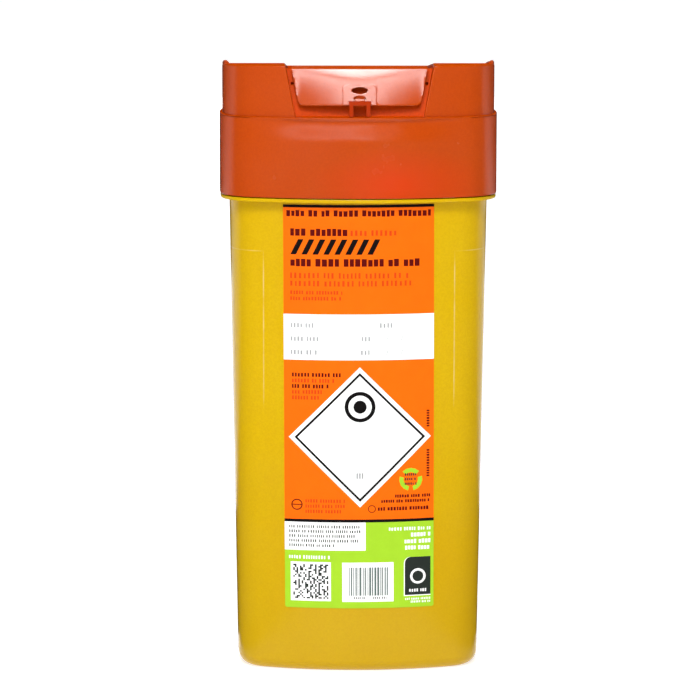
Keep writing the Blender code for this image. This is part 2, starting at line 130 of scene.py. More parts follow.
# Door, its hinge and its catch
DOOR_DROP = 0.0008
DOOR_TOP = ROOF_HEIGHT - DOOR_DROP
HINGE_Y = 0.0200
BARREL_RADIUS = 0.0019
PIN_RADIUS = 0.0011
PIN_END = 0.0237
SOCKET_RADIUS = 0.0014
SOCKET_END = 0.0240
BOSS_RADIUS = 0.0030
BOSS_END = 0.0253
PLATE_THICKNESS = 0.0019
POCKET_DEPTH = 0.0006
POCKET_HALF_WIDTH = 0.0186
POCKET_FRONT, POCKET_REAR = -0.0213, 0.0165
FLAP_TOP_Y, FLAP_BOTTOM_Y = -0.0243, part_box("door")[0].y
FLAP_BOTTOM = 0.1817
FLAP_THICKNESS = 0.0012
FLAP_HALF_WIDTH = 0.0213
FLAP_CORNER = 0.0022
FLAP_EDGE = 0.0005
FLAP_BEND = 0.0009
# Catch holes as (height, width, height of the hole)
HOLES = ((0.1864, 0.0050, 0.00215), (0.1840, 0.00385, 0.0018))
PAD_HALF_WIDTH, PAD_TOP, PAD_CORNER, PAD_RAISE = 0.0053, 0.1881, 0.0017, 0.00022
POST_NOTCH, POST_NOTCH_FRONT, POST_NOTCH_REAR = 0.0006, -0.0228, -0.0190
POST_NOTCH_LOW, POST_NOTCH_HIGH = 0.1895, 0.1960
# The flap is what lies in front of FLAP_BACK
FLAP_BACK = -0.0205
FLAP_CROWN, FLAP_SIDE_FALL, CROWN_HALF_WIDTH, CROWN_START = 0.00050, 0.00060, 0.019, 0.0006
ROLL_SLOPE, ROLL_HEIGHT, ROLL_DIP, ROLL_DIP_WIDTH = 0.042, 0.0027, 0.0012, 0.0085
CATCH_FRONT, CATCH_BACK = -0.0303, -0.0292
CATCH_FOOT = LEDGE_HEIGHT + 0.00015
BAR_BOTTOM, BAR_TOP = 0.18195, 0.18326
BAR_HALF_WIDTH = 0.0035
LEG_INNER, LEG_OUTER = 0.0020, 0.0033
TOOTH_TOP = 0.1840
TOOTH_TIP_Y = -0.02855
# The tooth as (height, half width, y of its front)
TOOTH_SECTIONS = ((BAR_TOP - 0.0006, 0.0011, CATCH_BACK - 0.0007), (TOOTH_TOP, 0.0016, CATCH_BACK - 0.0002))

# Label film and print
LABEL_HALF_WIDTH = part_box("front_label")[1].x
LABEL_BOTTOM, LABEL_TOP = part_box("front_label")[0].z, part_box("front_label")[1].z
LABEL_CORNER = 0.0007
LABEL_LIFT = 0.00006
LABEL_THICKNESS = 0.00012
PRINT_LAYER = 0.000012
LABEL_TURN = 0.0040
# Artwork, in millimetres
DIAMOND_CENTRE = (0.25, 76.5)
ART_HALF = LABEL_HALF_WIDTH / MM - 0.15
ART_LOW, ART_HIGH = LABEL_BOTTOM / MM + 0.1, LABEL_TOP / MM - 0.1

# Colours are linear
YELLOW = (0.597, 0.381, 0.0008)
YELLOW_DEEP = (0.537, 0.311, 0.0005)
ORANGE = (0.466, 0.055, 0.0008)
ORANGE_DEEP = (0.412, 0.043, 0.0005)
# Painted shade: the recess, trough and lip posts get their own copy of the lid's orange, coloured for the light
# that falls in the recess.
ORANGE_RECESS_PAINTED_SHADE = (0.620, 0.058, 0.0006)
# Painted shade: the catch gets a darker copy of the lid's orange for the shade that it stands in, in the
# recess.
ORANGE_CATCH_PAINTED_SHADE = (0.350, 0.025, 0.0004)
PRINT_ORANGE = (0.900, 0.131, 0.0004)
PRINT_GREEN = (0.332, 0.590, 0.024)
PRINT_WHITE = (0.930, 0.930, 0.930)
PRINT_BLACK = (0.006, 0.005, 0.005)
PRINT_DARK_RED = (0.100, 0.003, 0.002)
PRINT_RED = (0.640, 0.050, 0.003)
PRINT_GREY = (0.330, 0.335, 0.340)
PRINT_SLATE = (0.110, 0.150, 0.140)
PRINT_CHARCOAL = (0.02, 0.026, 0.022)


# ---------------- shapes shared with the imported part


def corner_centre():
    """Centres of the front, corner and side arcs. The corner's is where both its neighbours are met."""
    front = (0.0, FRONT_RADIUS - HALF_DEPTH)
    side = (HALF_WIDTH - SIDE_RADIUS, 0.0)
    to_front = FRONT_RADIUS - CORNER_RADIUS
    to_side = SIDE_RADIUS - CORNER_RADIUS
    dx, dy = side[0] - front[0], side[1] - front[1]
    apart = math.hypot(dx, dy)
    along = (to_front**2 - to_side**2 + apart**2) / (2 * apart)
    across = math.sqrt(to_front**2 - along**2)
    x = (along * dx - across * dy) / apart
    y = front[1] + (along * dy + across * dx) / apart
    return front, (x, y), side


def quarter_arcs():
    front, corner, side = corner_centre()
    first = math.atan2(corner[1] - front[1], corner[0] - front[0])
    second = math.atan2(corner[1] - side[1], corner[0] - side[0])
    return (
        (front, FRONT_RADIUS, -math.pi / 2, first, FRONT_STEPS),
        (corner, CORNER_RADIUS, first, second, CORNER_STEPS),
        (side, SIDE_RADIUS, second, 0.0, SIDE_STEPS),
    )


def outline(inset):
    """The plan outline moved inwards by inset, counter-clockwise from the middle of the front."""
    quarter = []
    for (cx, cy), radius, start, stop, steps in quarter_arcs():
        for i in range(steps):
            angle = start + (stop - start) * i / steps
            quarter.append((cx + (radius - inset) * math.cos(angle), cy + (radius - inset) * math.sin(angle)))
    quarter.append((HALF_WIDTH - inset, 0.0))
    right = quarter + [(x, -y) for x, y in reversed(quarter[:-1])]
    left = [(-x, y) for x, y in reversed(right[1:-1])]
    return right + left


def front_y(inset, x):
    """Y of the front arc at one x."""
    return FRONT_RADIUS - HALF_DEPTH - math.sqrt((FRONT_RADIUS - inset) ** 2 - x * x)


def roof(y):
    """Height of the lid's roof: level at the front, then falling to the rear."""
    return ROOF_HEIGHT - ROOF_SLOPE * max(0.0, y - ROOF_KNEE)


def deck(y):
    return roof(y) - DECK_DROP


def notch_half_width(z):
    """Half the gap between the cheeks, which flares upwards."""
    return NOTCH_HALF_WIDTH + NOTCH_FLARE * (z - LEDGE_HEIGHT)


def flap_y(z):
    """Y of the flap's front face at one height."""
    return FLAP_TOP_Y + (FLAP_BOTTOM_Y - FLAP_TOP_Y) * (DOOR_TOP - z) / (DOOR_TOP - FLAP_BOTTOM)


def flap_lean():
    return math.atan2(FLAP_TOP_Y - FLAP_BOTTOM_Y, DOOR_TOP - FLAP_BOTTOM)


def wall_y(z, extra=0.0):
    """Y of the recess wall behind the flap at one height."""
    return flap_y(z) + (RECESS_DEPTH + extra) / math.cos(flap_lean())


def hinge_height():
    return roof(HINGE_Y) - DOOR_DROP - BARREL_RADIUS


def body_inset(z):
    return BODY_INSET + DRAFT * (SKIRT_BOTTOM - z)


# ---------------- mesh tools


def linked(name, data):
    made = bpy.data.objects.new(name, data)
    bpy.context.scene.collection.objects.link(made)
    return made


def shade(mesh, sharp):
    """Smooth shading, with sharp edges above an angle in degrees."""
    mesh.shade_smooth()
    mesh.set_sharp_from_angle(angle=math.radians(sharp))


def object_from(name, bm, finish=None):
    mesh = bpy.data.meshes.new(name)
    bm.to_mesh(mesh)
    bm.free()
    if finish:
        mesh.materials.append(finish)
    return linked(name, mesh)


def mesh_object(name, points, faces, finish=None):
    bm = bmesh.new()
    verts = [bm.verts.new(point) for point in points]
    for face in faces:
        bm.faces.new([verts[i] for i in face])
    bmesh.ops.recalc_face_normals(bm, faces=bm.faces)
    made = object_from(name, bm, finish)
    shade(made.data, 30)
    return made


def tube_faces(count, levels):
    """Faces that join each loop of count points to the next one."""
    faces = []
    for start in range(0, (levels - 1) * count, count):
        for i in range(count):
            a, b = start + i, start + (i + 1) % count
            faces.append((a, b, b + count, a + count))
    return faces


def ring(inset, height):
    """The plan outline as points; height is a number or a function of y."""
    at = height if callable(height) else lambda y: height
    return [(x, y, at(y)) for x, y in outline(inset)]


def loft(name, rings, finish=None):
    """Joins rings into a solid whose ends are closed by strips across the plan."""
    count = len(rings[0])
    points = [point for one in rings for point in one]
    faces = tube_faces(count, len(rings))
    for start in (0, (len(rings) - 1) * count):
        for i in range(count // 2):
            strip = [i, i + 1, (count - i - 1) % count, (count - i) % count]
            faces.append([start + k for k in dict.fromkeys(strip)])
    return mesh_object(name, points, faces, finish)


def prism(name, sections, finish=None):
    """Joins sections into a solid, with one flat face at each end."""
    count = len(sections[0])
    points = [point for section in sections for point in section]
    ends = [list(range(count)), list(range(len(points) - count, len(points)))]
    return mesh_object(name, points, ends + tube_faces(count, len(sections)), finish)


def prism_x(name, side_view, half_width, finish=None):
    """A side view of (y, z) points, half_width(z) wide on both sides."""
    return prism(name, [[(side * half_width(z), y, z) for y, z in side_view] for side in (-1, 1)], finish)


def prism_y(name, front_view, front, back, finish=None):
    """A front view of (x, z) points, from front to back."""
    return prism(name, [[(x, y, z) for x, z in front_view] for y in (front, back)], finish)


def arc(cx, cy, radius, start, stop, steps):
    angles = [math.radians(start + (stop - start) * i / steps) for i in range(steps + 1)]
    return [(cx + radius * math.cos(a), cy + radius * math.sin(a)) for a in angles]


def between(start, stop, steps):
    """Evenly spaced values between two others, without the two."""
    return [start + (stop - start) * i / steps for i in range(1, steps)]


def rounded_rectangle(x, y_low, y_high, radius):
    corners = ((x, y_low, -90), (x, y_high, 0), (-x, y_high, 90), (-x, y_low, 180))
    points = []
    for cx, cy, start in corners:
        inner_x = cx - math.copysign(radius, cx)
        inner_y = cy + radius if cy == y_low else cy - radius
        points += arc(inner_x, inner_y, radius, start, start + 90, 10)
    return points


def hinge_cylinder(name, side, start, stop, radius, steps):
    """A cylinder on the hinge's axis, at one side of the middle."""
    circle = arc(HINGE_Y, hinge_height(), radius, 0, 360, steps)[:-1]
    return prism(name, [[(side * x, y, z) for y, z in circle] for x in (start, stop)])


def mirrored(view):
    """A front view and its mirror image, from the right half's (x, z) points."""
    return view + [(-x, z) for x, z in reversed(view)]


def extent(mesh):
    """Volume of a mesh, and the low and high corners of its box."""
    bm = bmesh.new()
    bm.from_mesh(mesh)
    volume = bm.calc_volume()
    low = [min(v.co[axis] for v in bm.verts) for axis in range(3)]
    high = [max(v.co[axis] for v in bm.verts) for axis in range(3)]
    bm.free()
    return volume, low, high


def is_sound(made, target, other, operation):
    """Whether a Boolean's result has a volume and a reach that are possible."""
    (volume, low, high), before, cutter = extent(made), extent(target), extent(other)
    least, most = before[0] - cutter[0], before[0]
    if operation == "UNION":
        least, most = max(before[0], cutter[0]), before[0] + cutter[0]
        before = (0, list(map(min, before[1], cutter[1])), list(map(max, before[2], cutter[2])))
    elif operation == "INTERSECT":
        least, most = 0, min(before[0], cutter[0])
    inside = all(a > b - REACH_SLACK for a, b in zip(low, before[1]))
    inside = inside and all(a < b + REACH_SLACK for a, b in zip(high, before[2]))
    return inside and least - VOLUME_SLACK < volume < most + VOLUME_SLACK


def boolean(target, other, operation="DIFFERENCE"):
    """Applies the Boolean at once and removes the other object.

    The exact solver's result varies a little from run to run, and in rare runs it keeps faces that it should
    drop. Such a result is thrown away and made again."""
    for _ in range(BOOLEAN_TRIES):
        modifier = target.modifiers.new(other.name, "BOOLEAN")
        modifier.operation = operation
        modifier.object = other
        modifier.solver = "EXACT"
        modifier.material_mode = "TRANSFER"
        made = evaluated(target)
        if is_sound(made, target.data, other.data, operation):
            break
    replace_mesh(target, made)
    bpy.data.objects.remove(other, do_unlink=True)


def evaluated(target):
    """The mesh that the modifiers make, which are then removed."""
    bpy.context.view_layer.update()
    graph = bpy.context.evaluated_depsgraph_get()
    made = bpy.data.meshes.new_from_object(target.evaluated_get(graph))
    target.modifiers.clear()
    return made


def replace_mesh(target, made):
    old = target.data
    target.data = made
    made.name = target.name
    bpy.data.meshes.remove(old)


def apply_modifiers(target):
    replace_mesh(target, evaluated(target))


def clean(target, sharp=32):
    """Welds what Booleans leave, and keeps the sharp edges."""
    bm = bmesh.new()
    bm.from_mesh(target.data)
    bmesh.ops.remove_doubles(bm, verts=bm.verts, dist=1e-6)
    bmesh.ops.dissolve_degenerate(bm, edges=bm.edges, dist=1e-6)
    bm.to_mesh(target.data)
    bm.free()
    shade(target.data, sharp)


def bevel(target, width):
    modifier = target.modifiers.new("edges", "BEVEL")
    modifier.width = width
    modifier.segments = 3
    modifier.limit_method = "ANGLE"
    modifier.angle_limit = math.radians(38)
    apply_modifiers(target)


def flat_faces_flat(target):
    """Keeps broad flat faces free of the shading of the small faces round them."""
    modifier = target.modifiers.new("normals", "WEIGHTED_NORMAL")
    modifier.mode = "FACE_AREA"
    modifier.weight = 60
    modifier.keep_sharp = True
    apply_modifiers(target)


# ---------------- materials


def scaled(colour, share):
    return tuple(min(1.0, c * share) for c in colour)


class Nodes:
    """Short calls for making a node material."""

    def __init__(self, name):
        self.material = bpy.data.materials.new(name)
        self.material.use_nodes = True
        self.tree = self.material.node_tree

    def set(self, socket, value):
        if isinstance(value, bpy.types.NodeSocket):
            self.tree.links.new(value, socket)
        else:
            socket.default_value = value

    def add(self, kind, inputs=None, **settings):
        node = self.tree.nodes.new(kind)
        for key, value in settings.items():
            setattr(node, key, value)
        for key, value in (inputs or {}).items():
            self.set(node.inputs[key], value)
        return node

    def position(self):
        return self.add("ShaderNodeTexCoord").outputs["Object"]

    def axis(self, vector, index):
        return self.add("ShaderNodeSeparateXYZ", {"Vector": vector}).outputs[index]

    def math(self, operation, *values):
        return self.add("ShaderNodeMath", dict(enumerate(values)), operation=operation).outputs[0]

    def times(self, first, second):
        return self.math("MULTIPLY", first, second)

    def noise(self, vector, scale, detail, roughness, stretch=None):
        if stretch:
            vector = self.add("ShaderNodeMapping", {"Vector": vector, "Scale": stretch}).outputs[0]
        inputs = {"Vector": vector, "Scale": scale, "Detail": detail, "Roughness": roughness}
        return self.add("ShaderNodeTexNoise", inputs).outputs["Fac"]

    def ramp(self, value, low, high, to_low=0.0, to_high=1.0):
        limits = {"From Min": low, "From Max": high, "To Min": to_low, "To Max": to_high}
        return self.add("ShaderNodeMapRange", {"Value": value, **limits}).outputs[0]

    def mix(self, share, first, second):
        node = self.add("ShaderNodeMix", data_type="RGBA")
        for index, value in ((0, share), (6, first), (7, second)):
            if isinstance(value, tuple) and len(value) == 3:
                value = (*value, 1.0)
            self.set(node.inputs[index], value)
        return node.outputs[2]

    def bump(self, height, strength, distance):
        inputs = {"Height": height, "Strength": strength, "Distance": distance}
        return self.add("ShaderNodeBump", inputs).outputs[0]

    def principled(self, inputs):
        """Sets the shader's inputs and returns the material."""
        for key, value in inputs.items():
            self.set(self.tree.nodes["Principled BSDF"].inputs[key], value)
        return self.material


def painted_edge_highlight(n, place, amount):
    # Painted highlight: pale colour on sharp convex edges, broken up by noise, where the edges catch light.
    edge_highlight_mask = n.ramp(n.add("ShaderNodeNewGeometry").outputs["Pointiness"], 0.545, 0.640, 0.0, amount)
    return n.times(edge_highlight_mask, n.ramp(n.noise(place, 900.0, 4.0, 0.7), 0.40, 0.62))


def pale_specks(n, place):
    cells = n.add("ShaderNodeTexVoronoi", {"Vector": place, "Scale": 260.0, "Randomness": 1.0})
    speck = n.ramp(cells.outputs["Distance"], 0.030, 0.055, 1.0, 0.0)
    few = n.ramp(n.noise(place, 95.0, 2.0, 0.5), 0.60, 0.66)
    return n.times(speck, n.times(few, 0.16))


def painted_lid_glow(n, place, flow, base):
    """A soft painted glow of richer colour low on the lid's front, where light brightens the plastic."""
    middle, half_sizes, rich, share = PAINTED_GLOW_PATCH
    apart = n.add("ShaderNodeVectorMath", {0: place, 1: middle}, operation="SUBTRACT").outputs[0]
    apart = n.add("ShaderNodeVectorMath", {0: apart, 1: half_sizes}, operation="DIVIDE").outputs[0]
    away = n.add("ShaderNodeVectorMath", {0: apart}, operation="LENGTH").outputs["Value"]
    uneven = n.math("ADD", away, n.times(n.math("SUBTRACT", flow, 0.5), 0.5))
    return n.mix(n.ramp(uneven, 0.15, 1.0, share, 0.0), base, rich)


def witness_lines(n, place):
    """Faint broken lines on the front, where the inserts of the mould met."""
    total = 0.0
    for across, at, along, low, high in WITNESS:
        near = n.math("ABSOLUTE", n.math("SUBTRACT", n.axis(place, across), at))
        line = n.ramp(near, 0.00008, 0.00024, 1.0, 0.0)
        inside = n.ramp(n.axis(place, along), low, low + WITNESS_FADE)
        inside = n.times(inside, n.ramp(n.axis(place, along), high - WITNESS_FADE, high, 1.0, 0.0))
        total = n.math("MAXIMUM", total, n.times(line, inside))
    broken = n.ramp(n.noise(place, 130.0, 2.0, 0.5), 0.38, 0.60, 0.25, 1.0)
    front = n.ramp(n.axis(place, 1), -0.004, 0.004, 1.0, 0.0)
    return n.times(n.times(total, broken), front)


def moulded_plastic(
    name, colour, deep, roughness, gloss, edge_highlight_share=0.34, tub=False, painted_glow=False, matt_top=False
):
    """Injection-moulded polypropylene: faint flow variation, fine grain, pale specks and a painted highlight on
    edges.

    A tub has witness lines and painted shade, darker towards its foot. matt_top takes the gloss off faces
    that look up, which come from a spark-eroded part of the mould."""
    n = Nodes(name)
    place = n.position()
    pale, dark = tuple(c + (1.0 - c) * 0.30 for c in colour), scaled(deep, 0.80)
    flow = n.noise(place, 38.0, 3.0, 0.5, stretch=(1.0, 1.0, 0.35))
    mottle = n.noise(place, 420.0, 3.0, 0.6)
    pepper = n.noise(place, 1500.0, 2.0, 0.7)
    grain = n.noise(place, 5200.0, 2.0, 0.6)
    base = n.mix(n.ramp(flow, 0.34, 0.70, 0.0, 0.42), colour, deep)
    base = n.mix(n.ramp(mottle, 0.35, 0.65, 0.0, 0.12), base, deep)
    base = n.mix(n.ramp(pepper, 0.36, 0.64, 0.0, 0.28), base, dark)
    # Painted highlight along edges; the same mask also makes the edges a little rougher.
    edge_highlight_mask = painted_edge_highlight(n, place, edge_highlight_share)
    base = n.mix(edge_highlight_mask, base, pale)
    base = n.mix(pale_specks(n, place), base, pale)
    height = n.math("ADD", n.times(grain, 0.5), n.times(mottle, 1.2))
    if painted_glow:
        # Painted glow: richer colour low on the lid's front.
        base = painted_lid_glow(n, place, flow, base)
    if tub:
        # Painted shade: the colour darkens towards the foot, where less light falls.
        base = n.mix(n.ramp(n.axis(place, 2), 0.006, 0.075, 0.42, 0.0), base, dark)
        lines = witness_lines(n, place)
        base = n.mix(n.times(lines, 0.42), base, pale)
        height = n.math("ADD", height, n.times(lines, 3.0))
    if matt_top:
        upward = n.axis(n.add("ShaderNodeNewGeometry").outputs["Normal"], 2)
        gloss = n.ramp(upward, 0.50, 0.80, gloss, 0.0)
    rough = n.ramp(n.noise(place, 60.0, 4.0, 0.6), 0.3, 0.7, roughness - 0.035, roughness + 0.045)
    return n.principled({
        "Base Color": base,
        "Roughness": n.math("ADD", rough, n.times(edge_highlight_mask, 0.2)),
        "IOR": 1.49,
        "Specular IOR Level": gloss,
        "Subsurface Weight": 0.06,
        "Subsurface Radius": (1.0, 0.45, 0.12),
        "Subsurface Scale": 0.0016,
        "Normal": n.bump(height, 0.25, 0.00003),
    })


def printed(name, colour):
    """Ink on satin film: slight density change, paper-fine grain and a faint scuff in the gloss."""
    n = Nodes(name)
    place = n.position()
    density = n.noise(place, 210.0, 4.0, 0.6)
    screen = n.noise(place, 2600.0, 2.0, 0.6)
    scuff = n.noise(place, 75.0, 5.0, 0.65, stretch=(1.0, 1.0, 0.25))
    darker = scaled(colour, 0.955)
    base = n.mix(n.ramp(density, 0.32, 0.68), scaled(colour, 1.03), darker)
    height = n.math("ADD", n.times(screen, 0.3), density)
    return n.principled({
        "Base Color": n.mix(n.ramp(screen, 0.30, 0.70, 0.0, 0.35), base, darker),
        "Roughness": n.ramp(scuff, 0.3, 0.75, 0.31, 0.43),
        "IOR": 1.46,
        "Specular IOR Level": 0.10,
        "Normal": n.bump(height, 0.12, 0.00002),
    })


# Witness lines as (axis across the line, its place, axis along it, low end, high end)
WITNESS_FADE = 0.004
WITNESS_X, WITNESS_Z = 0.0302, 0.1355
WITNESS = (
    (0, -WITNESS_X, 2, 0.0850, 0.1360),
    (0, WITNESS_X, 2, 0.0850, 0.1360),
    (2, WITNESS_Z, 0, -0.0440, -0.0300),
    (2, WITNESS_Z, 0, 0.0300, 0.0440),
)
# A painted glow low on the lid's front, where light brightens the plastic, as (centre, half sizes, colour,
# share)
PAINTED_GLOW_PATCH = ((0.0120, -0.0310, 0.1570), (0.0290, 0.0250, 0.0125), (0.560, 0.037, 0.0003), 0.85)

yellow = moulded_plastic("tub_yellow_plastic", YELLOW, YELLOW_DEEP, 0.20, 0.21, tub=True)
orange = moulded_plastic("lid_orange_plastic", ORANGE, ORANGE_DEEP, 0.235, 0.42, painted_glow=True, matt_top=True)
shaded_recess_orange, shaded_catch_orange, orange_door = (
    moulded_plastic(f"{part}_orange_plastic", colour, deep, roughness, gloss, edge_highlight_share, matt_top=True)
    for part, colour, deep, roughness, gloss, edge_highlight_share in (
        # The recess finish is a copy of the lid's orange with painted shade.
        ("recess", ORANGE_RECESS_PAINTED_SHADE, ORANGE_DEEP, 0.42, 0.05, 0.03),
        # The catch finish is a darker copy of the lid's orange with painted shade.
        ("catch", ORANGE_CATCH_PAINTED_SHADE, ORANGE_CATCH_PAINTED_SHADE, 0.45, 0.04, 0.02),
        ("door", ORANGE, ORANGE_DEEP, 0.19, 0.55, 0.20),
    )
)


# ---------------- tub


def make_tub():
    """From under the foot ring, up the outside and over the neck, and down the inside to the floor."""
    base = body_inset(BASE_ROUND)
    foot = base + FOOT_RING_WIDTH
    profile = [
        (foot + FOOT_RECESS + 0.0006, FOOT_RECESS),
        (foot + FOOT_RECESS, FOOT_RECESS - 0.00012),
        (foot + 0.0003, 0.0001),
        (foot, 0.0),
        (base + BASE_ROUND + 0.0004, 0.0),
    ]
    profile += arc(base + BASE_ROUND, BASE_ROUND, BASE_ROUND, -90, -180, 14)
    profile += [(body_inset(z), z) for z in between(BASE_ROUND, FLANGE_BOTTOM - 0.0004, 24)]
    fillet, edge = 0.00035, 0.00022
    flange_top = SKIRT_BOTTOM - SKIRT_GAP
    profile += arc(body_inset(FLANGE_BOTTOM) - fillet, FLANGE_BOTTOM - fillet, fillet, 0, 90, 4)
    profile += arc(FLANGE_INSET + edge, FLANGE_BOTTOM + edge, edge, -90, -180, 4)
    profile += arc(FLANGE_INSET + edge, flange_top - edge, edge, 180, 90, 4)
    bead, inside = NECK_INSET - NECK_BEAD, NECK_INSET + BODY_WALL
    profile += [
        (NECK_INSET, flange_top),
        (NECK_INSET, BEAD_LOW - 0.0006),
        (bead + 0.00015, BEAD_LOW - 0.00025),
        (bead, BEAD_LOW),
        (bead, BEAD_HIGH),
        (bead + 0.00015, BEAD_HIGH + 0.0003),
        (NECK_INSET, BEAD_HIGH + 0.0013),
        (NECK_INSET, NECK_TOP - 0.0004),
        (NECK_INSET + 0.00012, NECK_TOP - 0.00012),
        (NECK_INSET + 0.0004, NECK_TOP),
        (inside - EDGE, NECK_TOP),
        (inside, NECK_TOP - EDGE),
        (inside, FLANGE_BOTTOM),
        (body_inset(WALL_TURN) + BODY_WALL, WALL_TURN),
    ]
    inner_round = BASE_ROUND - BODY_WALL
    corner = FOOT_RECESS + FLOOR_THICKNESS + inner_round
    profile += [(body_inset(z) + BODY_WALL, z) for z in between(WALL_TURN, corner, 12)]
    profile += arc(body_inset(corner) + BODY_WALL + inner_round, corner, inner_round, 180, 270, 8)
    return loft("tub", [ring(inset, z) for inset, z in profile], yellow)


# ---------------- lid


def trough():
    """The space that holds the door: recess down to the ledge, lip, and trough above the deck."""
    lip_back = wall_y(LIP_TOP, LID_WALL)
    rounding = 0.0003
    side_view = [
        (CLEAR_FRONT, LEDGE_HEIGHT),
        (wall_y(LEDGE_HEIGHT) - 0.0002, LEDGE_HEIGHT),
        (wall_y(LEDGE_HEIGHT + 0.0002), LEDGE_HEIGHT + 0.0002),
        (wall_y(LIP_TOP - rounding), LIP_TOP - rounding),
        (wall_y(LIP_TOP - rounding) + 0.3 * rounding, LIP_TOP - 0.3 * rounding),
        (wall_y(LIP_TOP) + rounding, LIP_TOP),
        (lip_back - rounding, LIP_TOP),
        (lip_back, LIP_TOP - rounding),
        (lip_back, deck(lip_back)),
        (ROOF_KNEE, deck(ROOF_KNEE)),
        (TROUGH_REAR, deck(TROUGH_REAR)),
        (TROUGH_REAR, CLEAR_TOP),
        (CLEAR_FRONT, CLEAR_TOP),
    ]
    return prism_x("trough", side_view, notch_half_width, shaded_recess_orange)


def trough_outside():
    """The trough with the lid's wall round it, kept out of the lid's cavity."""
    low = deck(ROOF_KNEE) - LID_WALL
    rear = TROUGH_REAR + LID_WALL
    side_view = [
        (CLEAR_FRONT, LEDGE_HEIGHT - LID_WALL),
        (wall_y(LEDGE_HEIGHT - LID_WALL, LID_WALL), LEDGE_HEIGHT - LID_WALL),
        (wall_y(low, LID_WALL), low),
        (ROOF_KNEE, low),
        (rear, deck(rear) - LID_WALL),
        (rear, CLEAR_TOP),
        (CLEAR_FRONT, CLEAR_TOP),
    ]
    return prism_x("trough_outside", side_view, lambda z: notch_half_width(z) + LID_WALL)


def door_half_width(z):
    return FLAP_HALF_WIDTH - NOTCH_FLARE * (DOOR_TOP - z)


def lip_post(side):
    """Carries the lip up beside the door, to fill the gap between the door's edge and the cheek."""
    sections = []
    for z in (LIP_TOP - 0.0004, POST_TOP - 0.0002, POST_TOP):
        shrink = 0.0002 if z == POST_TOP else 0.0
        inner, outer = door_half_width(z) + shrink, notch_half_width(z) + 0.0006
        front, back = wall_y(z, shrink), wall_y(z, LID_WALL - shrink)
        plan = ((inner, front), (outer, front), (outer, back), (inner, back))
        sections.append([(side * x, y, z) for x, y in plan])
    return prism("lip_post", sections, shaded_recess_orange)


def corner_waste(curve, away):
    """What lies between a rounded edge and its sharp corner: the curve, closed outside the solid.

    away is how far out it is closed, and its sign says to which side."""
    (first_x, first_y), (last_x, last_y) = curve[0], curve[-1]
    outside_x, outside_y = first_x - abs(away), last_y + away
    return curve + [(last_x, outside_y), (outside_x, outside_y), (outside_x, first_y)]


def cheek_round(side):
    """Rounds the long edge where a cheek's inner wall meets the roof."""
    lean = math.degrees(math.atan(NOTCH_FLARE))
    radius, sink = CHEEK_ROUND, 0.00001
    sections = []
    for y in (CLEAR_FRONT, ROOF_KNEE, TROUGH_REAR - 0.0002):
        cz = roof(y) - radius + sink
        cx = notch_half_width(cz) + (radius - sink) / math.cos(math.radians(lean))
        loop = corner_waste(arc(cx, cz, radius, 180 - lean + OVERSHOOT, 90 - OVERSHOOT, 8), 0.002)
        sections.append([(side * x, y, z) for x, z in loop])
    return prism("cheek_round", sections)


def cheek_front_round(side):
    """Rounds the leaning edge where a cheek's inner wall meets the lid's front."""
    radius, sink = CHEEK_FRONT_ROUND, 0.000005
    sections = []
    for z in (LEDGE_HEIGHT - 0.0002, ROOF_HEIGHT + 0.003):
        cx = notch_half_width(z) + radius - sink
        cy = front_y(UPPER_INSET + radius - sink, cx)
        slope = math.degrees(math.asin(cx / FRONT_RADIUS))
        loop = corner_waste(arc(cx, cy, radius, 180 - OVERSHOOT, 270 + slope + OVERSHOOT, 8), -0.002)
        sections.append([(side * x, y, z) for x, y in loop])
    return prism("cheek_front_round", sections)


def lid_cavity():
    """The hollow in the lid, with the snap lip that holds the tub's bead."""
    lip = LID_WALL + SNAP_LIP
    upper = UPPER_INSET + LID_WALL
    below_ledge = LEDGE_HEIGHT - LID_WALL
    rings = [
        ring(LID_WALL, SKIRT_BOTTOM - 0.002),
        ring(LID_WALL, SNAP_LIP_LOW - 0.0007),
        ring(lip, SNAP_LIP_LOW),
        ring(lip, SNAP_LIP_HIGH),
        ring(LID_WALL, SNAP_LIP_HIGH + 0.0009),
        ring(LID_WALL, below_ledge - 0.0005),
        ring(LID_WALL + 0.0005, below_ledge),
        ring(upper + 0.0003, below_ledge),
        ring(upper + 0.0003, lambda y: roof(y) - LID_WALL),
    ]
    cavity = loft("lid_cavity", rings)
    boolean(cavity, trough_outside())
    for side in (-1, 1):
        boolean(cavity, hinge_cylinder("socket_boss", side, 0.0205, BOSS_END, BOSS_RADIUS, 32))
    return cavity


def aperture_loops(levels):
    """The aperture's rounded outline at (growth, height above the deck) levels."""
    sections = []
    for grow, lift in levels:
        front, rear = APERTURE_FRONT - grow, APERTURE_REAR + grow
        plan = rounded_rectangle(APERTURE_HALF_WIDTH + grow, front, rear, APERTURE_CORNER + grow)
        sections.append([(x, y, deck(y) + lift) for x, y in plan])
    return sections


def ridge(side):
    """A low rounded ridge on the roof along one side."""
    edges = zip(outline(UPPER_INSET + 0.0001), outline(UPPER_INSET + RIDGE_WIDTH))
    line = [(outer, inner) for outer, inner in edges if outer[0] * side > 0 and abs(outer[1]) <= RIDGE_END]
    sections = []
    for outer, inner in line:
        rise = RIDGE_HEIGHT * (1 - (abs(outer[1]) / (RIDGE_END * 1.05)) ** 8)
        low = roof(outer[1]) - 0.0005
        loop = [(outer[0], low)]
        for share, level in RIDGE_SECTION:
            loop.append((outer[0] + (inner[0] - outer[0]) * share, roof(outer[1]) + rise * level))
        loop.append((inner[0], low))
        sections.append([(x, outer[1], z) for x, z in loop])
    return prism("ridge", sections)


def smooth_step(value, low, high):
    share = min(1.0, max(0.0, (value - low) / (high - low)))
    return share * share * (3 - 2 * share)


